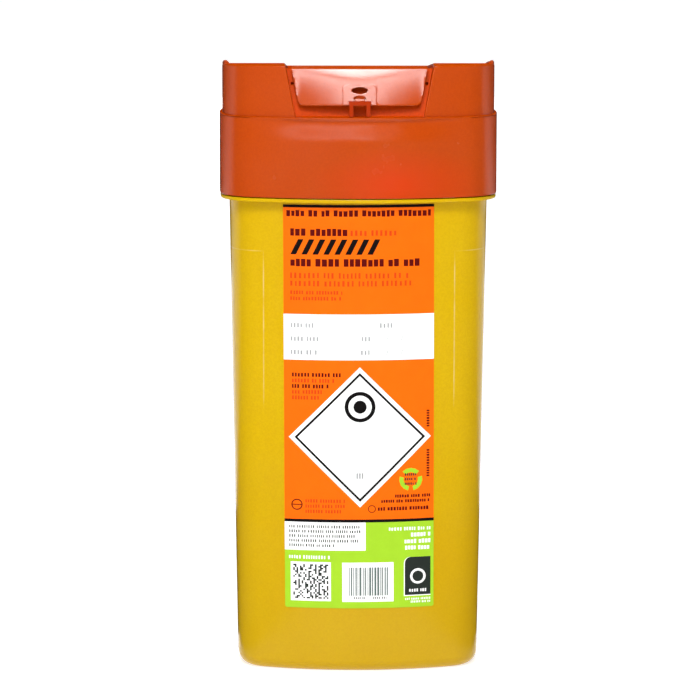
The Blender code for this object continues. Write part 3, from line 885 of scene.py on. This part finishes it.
def skirt_ring(z):
    """The skirt's outline at one height, with the shallow sink that the ledge leaves across the front."""
    depth = SINK_DEPTH * smooth_step(z, SINK_LOW, SINK_MIDDLE) * (1 - smooth_step(z, SINK_MIDDLE, SINK_HIGH))
    points = []
    for x, y, height in ring(0.0, z):
        fade = 1 - smooth_step(abs(x), SINK_HALF_WIDTH - SINK_FADE, SINK_HALF_WIDTH + SINK_FADE)
        wave = 1 + sum(size * math.sin(x * rate + phase) for size, rate, phase in SINK_WAVES)
        sink = depth * fade * wave if y < 0 else 0.0
        points.append((x, y + sink, height))
    return points


def make_lid():
    rings = [ring(inset, z) for inset, z in arc(EDGE, SKIRT_BOTTOM + EDGE, EDGE, -90, -180, 4)]
    rings += [ring(0.0, z) for z in between(SKIRT_BOTTOM + EDGE, SINK_LOW, 10)]
    rings += [skirt_ring(z) for z in (SINK_LOW, *between(SINK_LOW, SINK_HIGH, 24), SINK_HIGH)]
    ledge = arc(LEDGE_ROUND, LEDGE_HEIGHT - LEDGE_ROUND, LEDGE_ROUND, 180, 90, 6)
    rings += [ring(inset, z) for inset, z in ledge + [(UPPER_INSET, LEDGE_HEIGHT)]]
    for step in range(9):
        turn = math.radians(90 * step / 8)
        inset = UPPER_INSET + ROOF_ROUND * (1 - math.cos(turn))
        drop = ROOF_ROUND * (1 - math.sin(turn))
        rings.append(ring(inset, lambda y, drop=drop: roof(y) - drop))
    lid = loft("lid_shell", rings, orange)
    for side in (-1, 1):
        boolean(lid, ridge(side), "UNION")
        boolean(lid, cheek_round(side))
        boolean(lid, cheek_front_round(side))
    boolean(lid, trough())
    for side in (-1, 1):
        boolean(lid, lip_post(side), "UNION")
    boolean(lid, lid_cavity())
    wall, top = COLLAR_WALL, COLLAR_ABOVE
    collar = [(wall, -LID_WALL - COLLAR_BELOW), (wall, top - 0.00035)]
    collar += [(wall - 0.0001, top - 0.0001), (wall - 0.00035, top)]
    boolean(lid, prism("collar", aperture_loops(collar)), "UNION")
    hole = ((0, -0.02), (0, top - 0.00035), (0.0001, top - 0.0001), (0.00035, top + 0.00001), (0.0006, 0.02))
    boolean(lid, prism("aperture", aperture_loops(hole)))
    half = PEEP_SIZE / 2
    for side in (-1, 1):
        boolean(lid, hinge_cylinder("socket", side, 0.0190, SOCKET_END, SOCKET_RADIUS, 32))
        x, low, high = side * PEEP_X, PEEP_HEIGHT - half, PEEP_HEIGHT + half
        square = [(x - half, low), (x + half, low), (x + half, high), (x - half, high)]
        boolean(lid, prism_y("peep", square, PEEP_FRONT, PEEP_BACK))
    clean(lid)
    flat_faces_flat(lid)
    return lid


# ---------------- door and catch


def door_profile():
    """The door's side view as (y, z) points: barrel, top, flap, and back along the underside."""
    lean = math.degrees(flap_lean())
    along = (-math.sin(flap_lean()), -math.cos(flap_lean()))
    inward = (math.cos(flap_lean()), -math.sin(flap_lean()))
    points = arc(HINGE_Y, hinge_height(), BARREL_RADIUS, -90, 90, 20)
    points.append((ROOF_KNEE, DOOR_TOP))
    bend_y = flap_y(DOOR_TOP - FLAP_BEND) + FLAP_BEND / math.cos(flap_lean())
    points += arc(bend_y, DOOR_TOP - FLAP_BEND, FLAP_BEND, 90, 180 - lean, 12)
    tip = (FLAP_BOTTOM_Y - along[0] * FLAP_EDGE, FLAP_BOTTOM - along[1] * FLAP_EDGE)
    centre = (tip[0] + inward[0] * FLAP_EDGE, tip[1] + inward[1] * FLAP_EDGE)
    points += arc(centre[0], centre[1], FLAP_EDGE, 180 - lean, 270 - lean, 8)
    inner = (FLAP_BOTTOM_Y + inward[0] * FLAP_THICKNESS, FLAP_BOTTOM + inward[1] * FLAP_THICKNESS)
    points.append(inner)
    under = DOOR_TOP - PLATE_THICKNESS
    climb = (under - inner[1]) / along[1]
    points.append((inner[0] + along[0] * climb, under))
    points.append((ROOF_KNEE, under))
    barrel_front = HINGE_Y - 1.4 * BARREL_RADIUS
    points.append((barrel_front, roof(barrel_front) - DOOR_DROP - PLATE_THICKNESS))
    return points


def swell_flap(door):
    """Cuts the flap into a grid and swells it.

    Its middle stands out and its sides fall back, which fades towards the top edge. Near the top the face
    also rolls back at a growing slope, from a little lower down in the middle than at the sides."""
    bm = bmesh.new()
    bm.from_mesh(door.data)
    cuts = [((x * MM, 0, 0), (1, 0, 0)) for x in range(-21, 22)]
    cuts += [((0, 0, FLAP_BOTTOM + 0.0007 * i), (0, 0, 1)) for i in range(1, 17)]
    for at, normal in cuts:
        flap = [f for f in bm.faces if max(v.co.y for v in f.verts) < FLAP_BACK]
        parts = list({v for f in flap for v in f.verts}) + list({e for f in flap for e in f.edges}) + flap
        bmesh.ops.bisect_plane(bm, geom=parts, plane_co=at, plane_no=normal, dist=2e-6)
    crown_top = DOOR_TOP - CROWN_START
    for v in bm.verts:
        if v.co.y < FLAP_BACK:
            fade = min(1.0, max(0.0, (crown_top - v.co.z) / (crown_top - FLAP_BOTTOM)))
            across = min(1.0, abs(v.co.x) / CROWN_HALF_WIDTH)
            v.co.y -= fade * (FLAP_CROWN * (1 - across**2) - FLAP_SIDE_FALL * across**2)
            height = ROLL_HEIGHT + ROLL_DIP * math.exp(-((v.co.x / ROLL_DIP_WIDTH) ** 2))
            share = max(0.0, (v.co.z - DOOR_TOP + height) / height)
            v.co.y += ROLL_SLOPE * height * (share**2 / (share + 0.25) + share**2)
    bm.to_mesh(door.data)
    bm.free()


def post_notch(side):
    """Clears the lip post beside the plate, behind the flap."""
    low, high = POST_NOTCH_LOW, POST_NOTCH_HIGH
    corners = ((low, 0.0), (low, 0.004), (high, 0.004), (high, 0.0))
    loop = [(side * (door_half_width(z) - POST_NOTCH + step), z) for z, step in corners]
    return prism_y("post_notch", loop, POST_NOTCH_FRONT, POST_NOTCH_REAR)


def make_door():
    door = prism_x("hinged_door", door_profile(), lambda z: 0.03, orange_door)

    lean = math.atan(NOTCH_FLARE)
    low_half = door_half_width(FLAP_BOTTOM)
    centre_x = low_half - FLAP_CORNER / math.cos(lean) + FLAP_CORNER * math.tan(lean)
    edge = arc(centre_x, FLAP_BOTTOM + FLAP_CORNER, FLAP_CORNER, -90, -math.degrees(lean), 12)
    edge.append((low_half + NOTCH_FLARE * (CLEAR_TOP - FLAP_BOTTOM), CLEAR_TOP))
    boolean(door, prism_y("door_front_view", mirrored(edge), -0.04, 0.03), "INTERSECT")
    for side in (-1, 1):
        boolean(door, post_notch(side))

    ceiling = DOOR_DROP + PLATE_THICKNESS - POCKET_DEPTH
    stations = (POCKET_FRONT, ROOF_KNEE, POCKET_REAR)
    pocket = [(y, roof(y) - ceiling) for y in stations]
    pocket += [(y, roof(y) - ceiling - 0.004) for y in reversed(stations)]
    boolean(door, prism_x("door_pocket", pocket, lambda z: POCKET_HALF_WIDTH))

    pad_edge = [(PAD_HALF_WIDTH, FLAP_BOTTOM + 0.0003)]
    pad_edge += arc(PAD_HALF_WIDTH - PAD_CORNER, PAD_TOP - PAD_CORNER, PAD_CORNER, 0, 90, 8)
    pad = [[(x, flap_y(z) - out, z) for x, z in mirrored(pad_edge)] for out in (PAD_RAISE, -0.0005)]
    boolean(door, prism("flap_pad", pad), "UNION")

    for z, width, height in HOLES:
        oval = [(x * width / 2, z + up * height / 2) for x, up in arc(0, 0, 1, 0, 360, 40)[:-1]]
        boolean(door, prism_y("catch_hole", oval, -0.032, -0.022))
    for side in (-1, 1):
        boolean(door, hinge_cylinder("hinge_pin", side, 0.0180, PIN_END, PIN_RADIUS, 28), "UNION")
    clean(door)
    swell_flap(door)
    bevel(door, 0.00013)
    clean(door, 40)
    flat_faces_flat(door)
    return door


def make_catch():
    """A bar on two legs, with a tooth on top that leans back towards the flap's hole."""
    edge = [
        (LEG_INNER, BAR_BOTTOM),
        (LEG_INNER, CATCH_FOOT),
        (LEG_OUTER, CATCH_FOOT),
        (LEG_OUTER, BAR_BOTTOM),
        (BAR_HALF_WIDTH, BAR_BOTTOM),
        (BAR_HALF_WIDTH, BAR_TOP),
    ]
    catch = prism_y("catch_loop", mirrored(edge), CATCH_FRONT, CATCH_BACK, shaded_catch_orange)
    tooth = []
    for z, half, front in TOOTH_SECTIONS:
        plan = ((-half, front), (half, front), (half, TOOTH_TIP_Y), (-half, TOOTH_TIP_Y))
        tooth.append([(x, y, z) for x, y in plan])
    boolean(catch, prism("tooth", tooth, orange_door), "UNION")
    clean(catch)
    bevel(catch, 0.00012)
    clean(catch, 40)
    flat_faces_flat(catch)
    return catch


# ---------------- label


class Print:
    """Closed thin patches of one ink, which follow the tub's front. Layer 0 is the film under the inks."""

    def __init__(self, layer):
        self.bm = bmesh.new()
        self.low = LABEL_LIFT + LABEL_THICKNESS + (layer - 1) * PRINT_LAYER + PRINT_LAYER * 0.2
        self.high = self.low + PRINT_LAYER * 0.8
        if layer == 0:
            self.low, self.high = LABEL_LIFT, LABEL_LIFT + LABEL_THICKNESS

    def place(self, x, z, lift):
        """A point of the artwork in millimetres, laid on the tub."""
        x, z = x * MM, z * MM
        middle = (LABEL_BOTTOM + LABEL_TOP) / 2
        turned = x - LABEL_TURN * (z - middle)
        raised = z + LABEL_TURN * x
        return Vector((turned, front_y(body_inset(raised) - lift, turned), raised))

    def shape(self, loop):
        """A flat outline of (x, z) points in millimetres, cut into 1 mm columns to follow the curve."""
        loop = [p for i, p in enumerate(loop) if math.dist(p, loop[i - 1]) > 2e-4]
        flat = bmesh.new()
        flat.faces.new([flat.verts.new((x, 0.0, z)) for x, z in loop])
        xs = [x for x, _ in loop]
        cut = math.ceil(min(xs) + 0.02)
        while cut < max(xs) - 0.02:
            everything = flat.verts[:] + flat.edges[:] + flat.faces[:]
            bmesh.ops.bisect_plane(flat, geom=everything, plane_co=(cut, 0, 0), plane_no=(1, 0, 0), dist=1e-4)
            cut += 1
        bmesh.ops.remove_doubles(flat, verts=flat.verts, dist=1e-4)
        made = {}

        def vertex(point, lift):
            key = (point.index, lift)
            if key not in made:
                made[key] = self.bm.verts.new(self.place(point.co.x, point.co.z, lift))
            return made[key]

        flat.verts.index_update()
        faces = []
        for column in flat.faces:
            faces.append(self.bm.faces.new([vertex(v, self.high) for v in column.verts]))
            faces.append(self.bm.faces.new([vertex(v, self.low) for v in reversed(column.verts[:])]))
        for edge in flat.edges:
            if edge.is_boundary:
                a, b = edge.verts
                rim = [vertex(a, self.low), vertex(b, self.low), vertex(b, self.high), vertex(a, self.high)]
                faces.append(self.bm.faces.new(rim))
        bmesh.ops.recalc_face_normals(self.bm, faces=faces)
        flat.free()

    def bar(self, x_low, x_high, z_low, z_high):
        self.shape([(x_low, z_low), (x_high, z_low), (x_high, z_high), (x_low, z_high)])

    def words(self, x_low, x_high, z_low, z_high, seed, fill=0.70, pitch=0.78):
        """A line of stand-in text: a small plain block for each letter, with gaps between words."""
        dice = random.Random(seed)
        height = z_high - z_low
        width = height * pitch
        x, left = x_low, dice.randint(3, 7)
        while x < x_high - 0.3 * width:
            wide = width * dice.uniform(0.82, 1.12)
            low = z_low + height * dice.choice((0.0, 0.0, 0.0, 0.06))
            high = z_high - height * dice.choice((0.0, 0.0, 0.05, 0.12))
            self.bar(x, min(x + wide * fill, x_high), low, high)
            x += wide
            left -= 1
            if left == 0:
                x += width * 0.6
                left = dice.randint(2, 9)

    def lines(self, x_low, ends, top, pitch, height, seed, fill):
        """Several lines of stand-in text from the left edge x_low, each to its own end."""
        for line, end in enumerate(ends):
            z = top - pitch * line
            self.words(x_low, end, z, z + height, seed + line, fill)

    def dots(self, x, stop, z, gaps=()):
        """A dotted line to write on, left open in the gaps."""
        while x < stop:
            if not any(low < x < high for low, high in gaps):
                self.bar(x, x + 0.22, z - 0.1, z + 0.1)
            x += 0.42

    def ring(self, cx, cz, outer, inner, start=0.0, stop=360.0, steps=36):
        """Part of a ring, or a whole one made of two halves."""
        halves = ((start, stop),) if stop - start < 200 else ((start, start + 180), (start + 180, stop))
        for low, high in halves:
            self.shape(arc(cx, cz, outer, low, high, steps // 2) + arc(cx, cz, inner, high, low, steps // 2))

    def finish(self, name, ink):
        made = object_from(name, self.bm, ink)
        shade(made.data, 30)
        return made


def label_outline(top):
    """The label's outline in millimetres, from its rounded lower corners up to top."""
    corner = LABEL_CORNER / MM
    right = arc(ART_HALF - corner, ART_LOW + corner, corner, -90, 0, 5) + [(ART_HALF, top)]
    return right + [(-ART_HALF, top)] + arc(-ART_HALF + corner, ART_LOW + corner, corner, 180, 270, 5)


def make_film():
    film = Print(0)
    film.shape(label_outline(ART_HIGH))
    return film.finish("label_film", printed("label_orange_ink", PRINT_ORANGE))


def draw_heading(art):
    """Fill line, a heading of slanted blocks and lines of text."""
    art.black.bar(-ART_HALF, ART_HALF, ART_HIGH - 0.85, ART_HIGH)
    art.dark.words(-22.7, 22.7, 146.9, 148.9, 1, 0.74)
    art.dark.words(-21.5, -3.6, 140.8, 143.1, 2, 0.76)
    art.red.words(-2.6, 12.6, 140.8, 142.6, 3, 0.5)
    for i in range(8):
        x = -21.5 + 3.45 * i
        art.black.shape([(x, 134.9), (x + 1.75, 134.9), (x + 1.75 + 2.4, 139.7), (x + 2.4, 139.7)])
    art.dark.words(-21.5, 20.4, 131.1, 133.5, 4, 0.78)
    art.red.lines(-21.6, (15.9, 16.5), 127.3, 2.5, 1.8, 5, 0.45)
    art.red.lines(-21.6, (-5.2, -5.2), 122.2, 1.9, 1.2, 7, 0.6)


def draw_form(art):
    """White panel with three rows of a word, a dotted line, and a short word with more dots."""
    art.white.bar(-ART_HALF, ART_HALF, 101.3, 115.9)
    for row, (z, first, second) in enumerate(((111.6, -14.2, 6.6), (107.3, -12.2, 0.8), (103.0, -12.7, 0.6))):
        art.grey.words(-21.5, first, z, z + 1.5, 20 + row, 0.5, 0.72)
        art.grey.dots(first + 0.3, second - 0.4, z)
        word_end = second + (4.0 if row else 4.1)
        art.grey.words(second, word_end, z, z + 1.5, 30 + row, 0.5, 0.72)
        slashes = (8.5, 13.1) if row else ()
        art.grey.dots(word_end + 0.8, 19.8, z, [(x - 0.4, x + 1.2) for x in slashes])
        for x in slashes:
            art.grey.shape([(x, z - 0.2), (x + 0.18, z - 0.2), (x + 0.95, z + 1.8), (x + 0.77, z + 1.8)])


def diamond(half):
    x, z = DIAMOND_CENTRE
    return [(x - half, z), (x, z - half), (x + half, z), (x, z + half)]


def draw_diamond(art):
    """A note, and an outlined diamond with a disc in a ring and three small bars."""
    note = ((-5.6, art.dark), (-7.4, art.red), (-9.2, art.dark), (-11.8, art.red), (-11.6, art.red))
    for line, (end, ink) in enumerate(note):
        z = 95.9 - 1.83 * line
        ink.words(-21.2, end, z, z + 1.25, 40 + line, 0.6)
    art.white.shape(diamond(22.55))
    outer, inner = diamond(20.75), diamond(19.75)
    for i in range(4):
        j = (i + 1) % 4
        art.black.shape([outer[i], outer[j], inner[j], inner[i]])
    art.black.ring(0.3, 86.3, 4.9, 3.7)
    art.black.shape(arc(0.3, 86.3, 2.1, 0, 360, 24)[:-1])
    for x in (-0.9, -0.05, 0.8):
        art.grey.bar(x, x + 0.5, 63.2, 65.0)


def draw_codes(art):
    """Upright rows of marks at the right edge."""
    for z_low, z_high in ((79.6, 85.5), (63.5, 72.6)):
        z, dice = z_low, random.Random(round(z_low))
        while z < z_high - 0.3:
            size = dice.uniform(0.42, 0.62)
            art.dark.bar(21.45, 22.35, z, min(z + size, z_high))
            z += size + 0.28


def draw_small_marks(art):
    """Three bent green bars round a small note, and plain rings beside notes."""
    for turn in (90, 210, 330):
        art.green.ring(16.4, 62.7, 3.7, 2.3, turn - 46, turn + 46, 8)
    art.charcoal.lines(14.5, (18.4, 18.4, 18.4), 63.9, 1.5, 0.8, 50, 0.6)
    art.dark.ring(-19.8, 54.7, 1.8, 1.45, steps=28)
    art.dark.bar(-21.4, -18.2, 54.55, 54.85)
    art.red.lines(-17.1, (-4.6, -4.5, -5.6), 55.4, 1.7, 1.1, 60, 0.55)
    art.dark.words(11.4, 22.7, 56.9, 57.9, 64)
    art.dark.words(7.0, 22.7, 55.3, 56.3, 65)
    art.dark.ring(4.0, 53.4, 1.25, 1.0, steps=24)
    art.dark.words(5.9, 22.7, 52.8, 54.0, 66)


def draw_foot(art):
    """Green field with a white note and lines of text."""
    art.black.bar(-ART_HALF, ART_HALF, 49.05, 50.0)
    art.green.shape(label_outline(49.1))
    art.light.bar(-ART_HALF, 2.0, 39.9, 49.05)
    art.charcoal.lines(-22.3, (0.4, 0.6, -1.5, 0.1, -7.6), 47.1, 1.52, 0.95, 70, 0.5)
    art.light.words(9.4, 22.7, 46.2, 47.3, 76, 0.6)
    for line, start in enumerate((16.5, 14.4, 14.6)):
        z = 44.1 - 2.1 * line
        art.light.words(start, 22.7, z, z + 1.3, 77 + line, 0.75)
    art.light.words(-22.4, -8.9, 37.1, 38.2, 80, 0.55)


def draw_block_pattern(art):
    """A square of random cells, which encodes nothing."""
    art.light.bar(-21.9, -9.1, 23.4, 36.1)
    cells, left, side = 21, -21.1, 11.2
    size, dice = side / cells, random.Random(81)
    for row in range(cells):
        column = 0
        while column < cells:
            if dice.random() < 0.46:
                run = dice.choice((1, 1, 2))
                x, z = left + size * column, 24.15 + size * row
                art.charcoal.bar(x, min(x + size * run, left + side), z, z + size * 0.98)
                column += run
            column += 1


def draw_bars(art):
    """A row of random bars over two short lines."""
    art.light.bar(-5.5, 10.9, 23.2, 36.0)
    x, dice = -3.3, random.Random(82)
    while x < 9.4:
        wide = dice.choice((0.22, 0.22, 0.4, 0.62))
        art.slate.bar(x, x + wide, 25.2, 34.4)
        x += wide + dice.choice((0.28, 0.36, 0.55))
    for start, stop, seed in ((-1.8, 2.2, 82), (4.4, 8.6, 87)):
        art.charcoal.words(start, stop, 24.1, 24.85, seed, 0.5)


def draw_panel(art):
    """A dark panel with a ring in it, edged in white at its left and its foot."""
    panel = [(14.5, 25.1), (22.75, 25.1), (22.75, 37.5)] + arc(16.5, 35.5, 2.0, 90, 180, 6)
    art.light.shape([(x - 0.3 if x < 18 else x, z - 0.3 if z < 30 else z) for x, z in panel])
    art.charcoal.shape(panel)
    art.plain.ring(18.7, 31.2, 2.5, 1.75, steps=32)
    art.plain.words(15.9, 21.5, 26.1, 27.1, 90, 0.6)
    art.light.words(14.6, 22.7, 23.5, 24.2, 91, 0.55)
    art.light.words(16.4, 22.7, 22.5, 23.2, 92, 0.55)


# The patches as (patch, layer, piece's name, ink's name, colour), in the order in which they are made
PATCHES = (
    ("white", 1, "white_print", "white_ink", PRINT_WHITE),
    ("black", 2, "black_print", "black_ink", PRINT_BLACK),
    ("green", 1, "green_print", "green_ink", PRINT_GREEN),
    ("dark", 1, "dark_print", "dark_ink", PRINT_DARK_RED),
    ("red", 1, "red_print", "red_ink", PRINT_RED),
    ("grey", 2, "grey_print", "grey_ink", PRINT_GREY),
    ("light", 2, "panel_print", "white_ink", PRINT_WHITE),
    ("slate", 3, "bar_print", "bar_ink", PRINT_SLATE),
    ("charcoal", 3, "fine_print", "fine_ink", PRINT_CHARCOAL),
    ("plain", 4, "panel_mark", "white_ink", PRINT_WHITE),
)


def make_label():
    art = SimpleNamespace(**{row[0]: Print(row[1]) for row in PATCHES})
    for draw in (draw_heading, draw_form, draw_diamond, draw_codes, draw_small_marks, draw_foot):
        draw(art)
    for draw in (draw_block_pattern, draw_bars, draw_panel):
        draw(art)
    inks = {ink: printed(f"label_{ink}", colour) for _, _, _, ink, colour in PATCHES}
    return [getattr(art, patch).finish(f"label_{piece}", inks[ink]) for patch, _, piece, ink, _ in PATCHES]


# ---------------- assembly


def fit(piece, body, node):
    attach(piece, body)
    if node:
        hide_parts(node)


fit(make_tub(), "bin", "container")
fit(make_lid(), "bin", "lid")
fit(make_door(), "door", "door")
fit(make_catch(), "catch", "door_catch")
fit(make_film(), "bin", "front_label")
for patch in make_label():
    fit(patch, "bin", None)


# ---------------- stage, light and camera


WHITE = (1.0, 1.0, 1.0, 1.0)
FLOOR_WHITE = (0.60, 0.60, 0.60)
FLOOR_GLOW = 0.66
WORLD_GLOW = 0.02
FLOOR_REACH = 30.0
MIRRORED_HALF, MIRRORED_FRONT, MIRRORED_BACK, MIRRORED_END = 0.055, -0.13, 0.25, 1.0
NEAR_BACK = 0.03
CAMERA_PLACE = (-0.02115, -1.1307, 0.26333)
CAMERA_LENS, CAMERA_SENSOR, CAMERA_SHIFT = 181.76, 36.0, -0.0109
CAMERA_TURN, CAMERA_DROP, CAMERA_ROLL = 0.0187, math.radians(8.185), 0.0018


def make_floor():
    """A pale floor in tiles. Only those close in front of the bin and well behind it show in its gloss."""
    n = Nodes("studio_floor")
    shade_noise = n.noise(n.position(), 3.0, 3.0, 0.5)
    pale = n.principled({
        "Base Color": n.mix(shade_noise, FLOOR_WHITE, scaled(FLOOR_WHITE, 1.03)),
        "Roughness": 0.7,
        "Specular IOR Level": 0.1,
        "Emission Color": WHITE,
        "Emission Strength": FLOOR_GLOW,
    })
    far, half, front, back = FLOOR_REACH, MIRRORED_HALF, MIRRORED_FRONT, MIRRORED_BACK
    for name, low, high, mirrored in (
        ("studio_floor_back", (-far, back), (far, MIRRORED_END), True),
        ("studio_floor_near", (-half, front), (half, NEAR_BACK), True),
        ("studio_floor_front", (-far, -far), (far, front), False),
        ("studio_floor_end", (-far, MIRRORED_END), (far, far), False),
        ("studio_floor_left", (-far, front), (-half, back), False),
        ("studio_floor_right", (half, front), (far, back), False),
        ("studio_floor_middle", (-half, NEAR_BACK), (half, back), False),
    ):
        corners = [(low[0], low[1], 0), (high[0], low[1], 0), (high[0], high[1], 0), (low[0], high[1], 0)]
        tile = mesh_object(name, corners, [(0, 1, 2, 3)], pale)
        tile.visible_glossy = mirrored


def make_backdrop():
    """A white surround that only the camera sees."""
    glow = {"Base Color": WHITE, "Emission Color": WHITE, "Emission Strength": 1.0}
    bm = bmesh.new()
    bmesh.ops.create_uvsphere(bm, u_segments=32, v_segments=16, radius=FLOOR_REACH)
    dome = object_from("studio_backdrop", bm, Nodes("studio_backdrop").principled(glow))
    for rays in ("visible_diffuse", "visible_glossy", "visible_transmission", "visible_shadow"):
        setattr(dome, rays, False)


def light(name, kind, place, aim, power, in_gloss, in_diffuse, **settings):
    data = bpy.data.lights.new(name, kind)
    data.energy = power
    for key, value in settings.items():
        setattr(data, key, value)
    made = linked(name, data)
    made.location = place
    made.rotation_euler = (Vector(aim) - Vector(place)).to_track_quat("-Z", "Y").to_euler()
    made.visible_glossy, made.visible_diffuse, made.visible_camera = in_gloss, in_diffuse, False


def sun(name, azimuth, elevation, power, spread):
    """A wide sun. All angles are in degrees, and azimuth 0 is the front."""
    a, e = math.radians(azimuth), math.radians(elevation)
    place = (3 * math.sin(a) * math.cos(e), -3 * math.cos(a) * math.cos(e), 3 * math.sin(e))
    light(name, "SUN", place, (0, 0, 0), power, False, True, angle=math.radians(spread))


def softbox(name, place, aim_height, power, width, height, in_gloss=True, in_diffuse=True):
    size = {"shape": "RECTANGLE", "size": width, "size_y": height}
    light(name, "AREA", place, (0, 0, aim_height), power, in_gloss, in_diffuse, **size)


def make_camera():
    turn, drop = CAMERA_TURN, CAMERA_DROP
    look = Vector((math.sin(turn) * math.cos(drop), math.cos(turn) * math.cos(drop), -math.sin(drop)))
    data = bpy.data.cameras.new("photo_camera")
    data.sensor_width, data.lens, data.shift_x = CAMERA_SENSOR, CAMERA_LENS, CAMERA_SHIFT
    data.clip_start, data.clip_end = 0.05, 100.0
    camera = linked("photo_camera", data)
    aimed = look.to_track_quat("-Z", "Y").to_matrix().to_4x4()
    camera.matrix_world = Matrix.Translation(CAMERA_PLACE) @ aimed @ Matrix.Rotation(CAMERA_ROLL, 4, "Z")
    bpy.context.scene.camera = camera


make_floor()
make_backdrop()
world = bpy.data.worlds.new("studio")
bpy.context.scene.world = world
world.use_nodes = True
world.node_tree.nodes["Background"].inputs["Color"].default_value = WHITE
world.node_tree.nodes["Background"].inputs["Strength"].default_value = WORLD_GLOW
sun("key_light", -22, 50, 1.00, 60)
sun("back_fill", 165, 42, 1.60, 80)
softbox("high_softbox", (-0.08, -1.00, 1.28), 0.19, 15.0, 0.56, 0.34)
softbox("flap_softbox", (0.03, -1.30, 0.91), 0.19, 3.8, 0.12, 0.34)
softbox("back_card", (0.0, 2.50, 0.62), 0.19, 1.4, 2.2, 0.9, in_diffuse=False)
softbox("back_panel", (-0.7, 2.30, 0.45), 0.1, 14.0, 1.6, 0.9, in_gloss=False)
softbox("skirt_strip", (-0.5, -2.20, 0.60), 0.17, 5.5, 1.7, 0.22)
make_camera()
bpy.context.scene.view_settings.view_transform = "Standard"
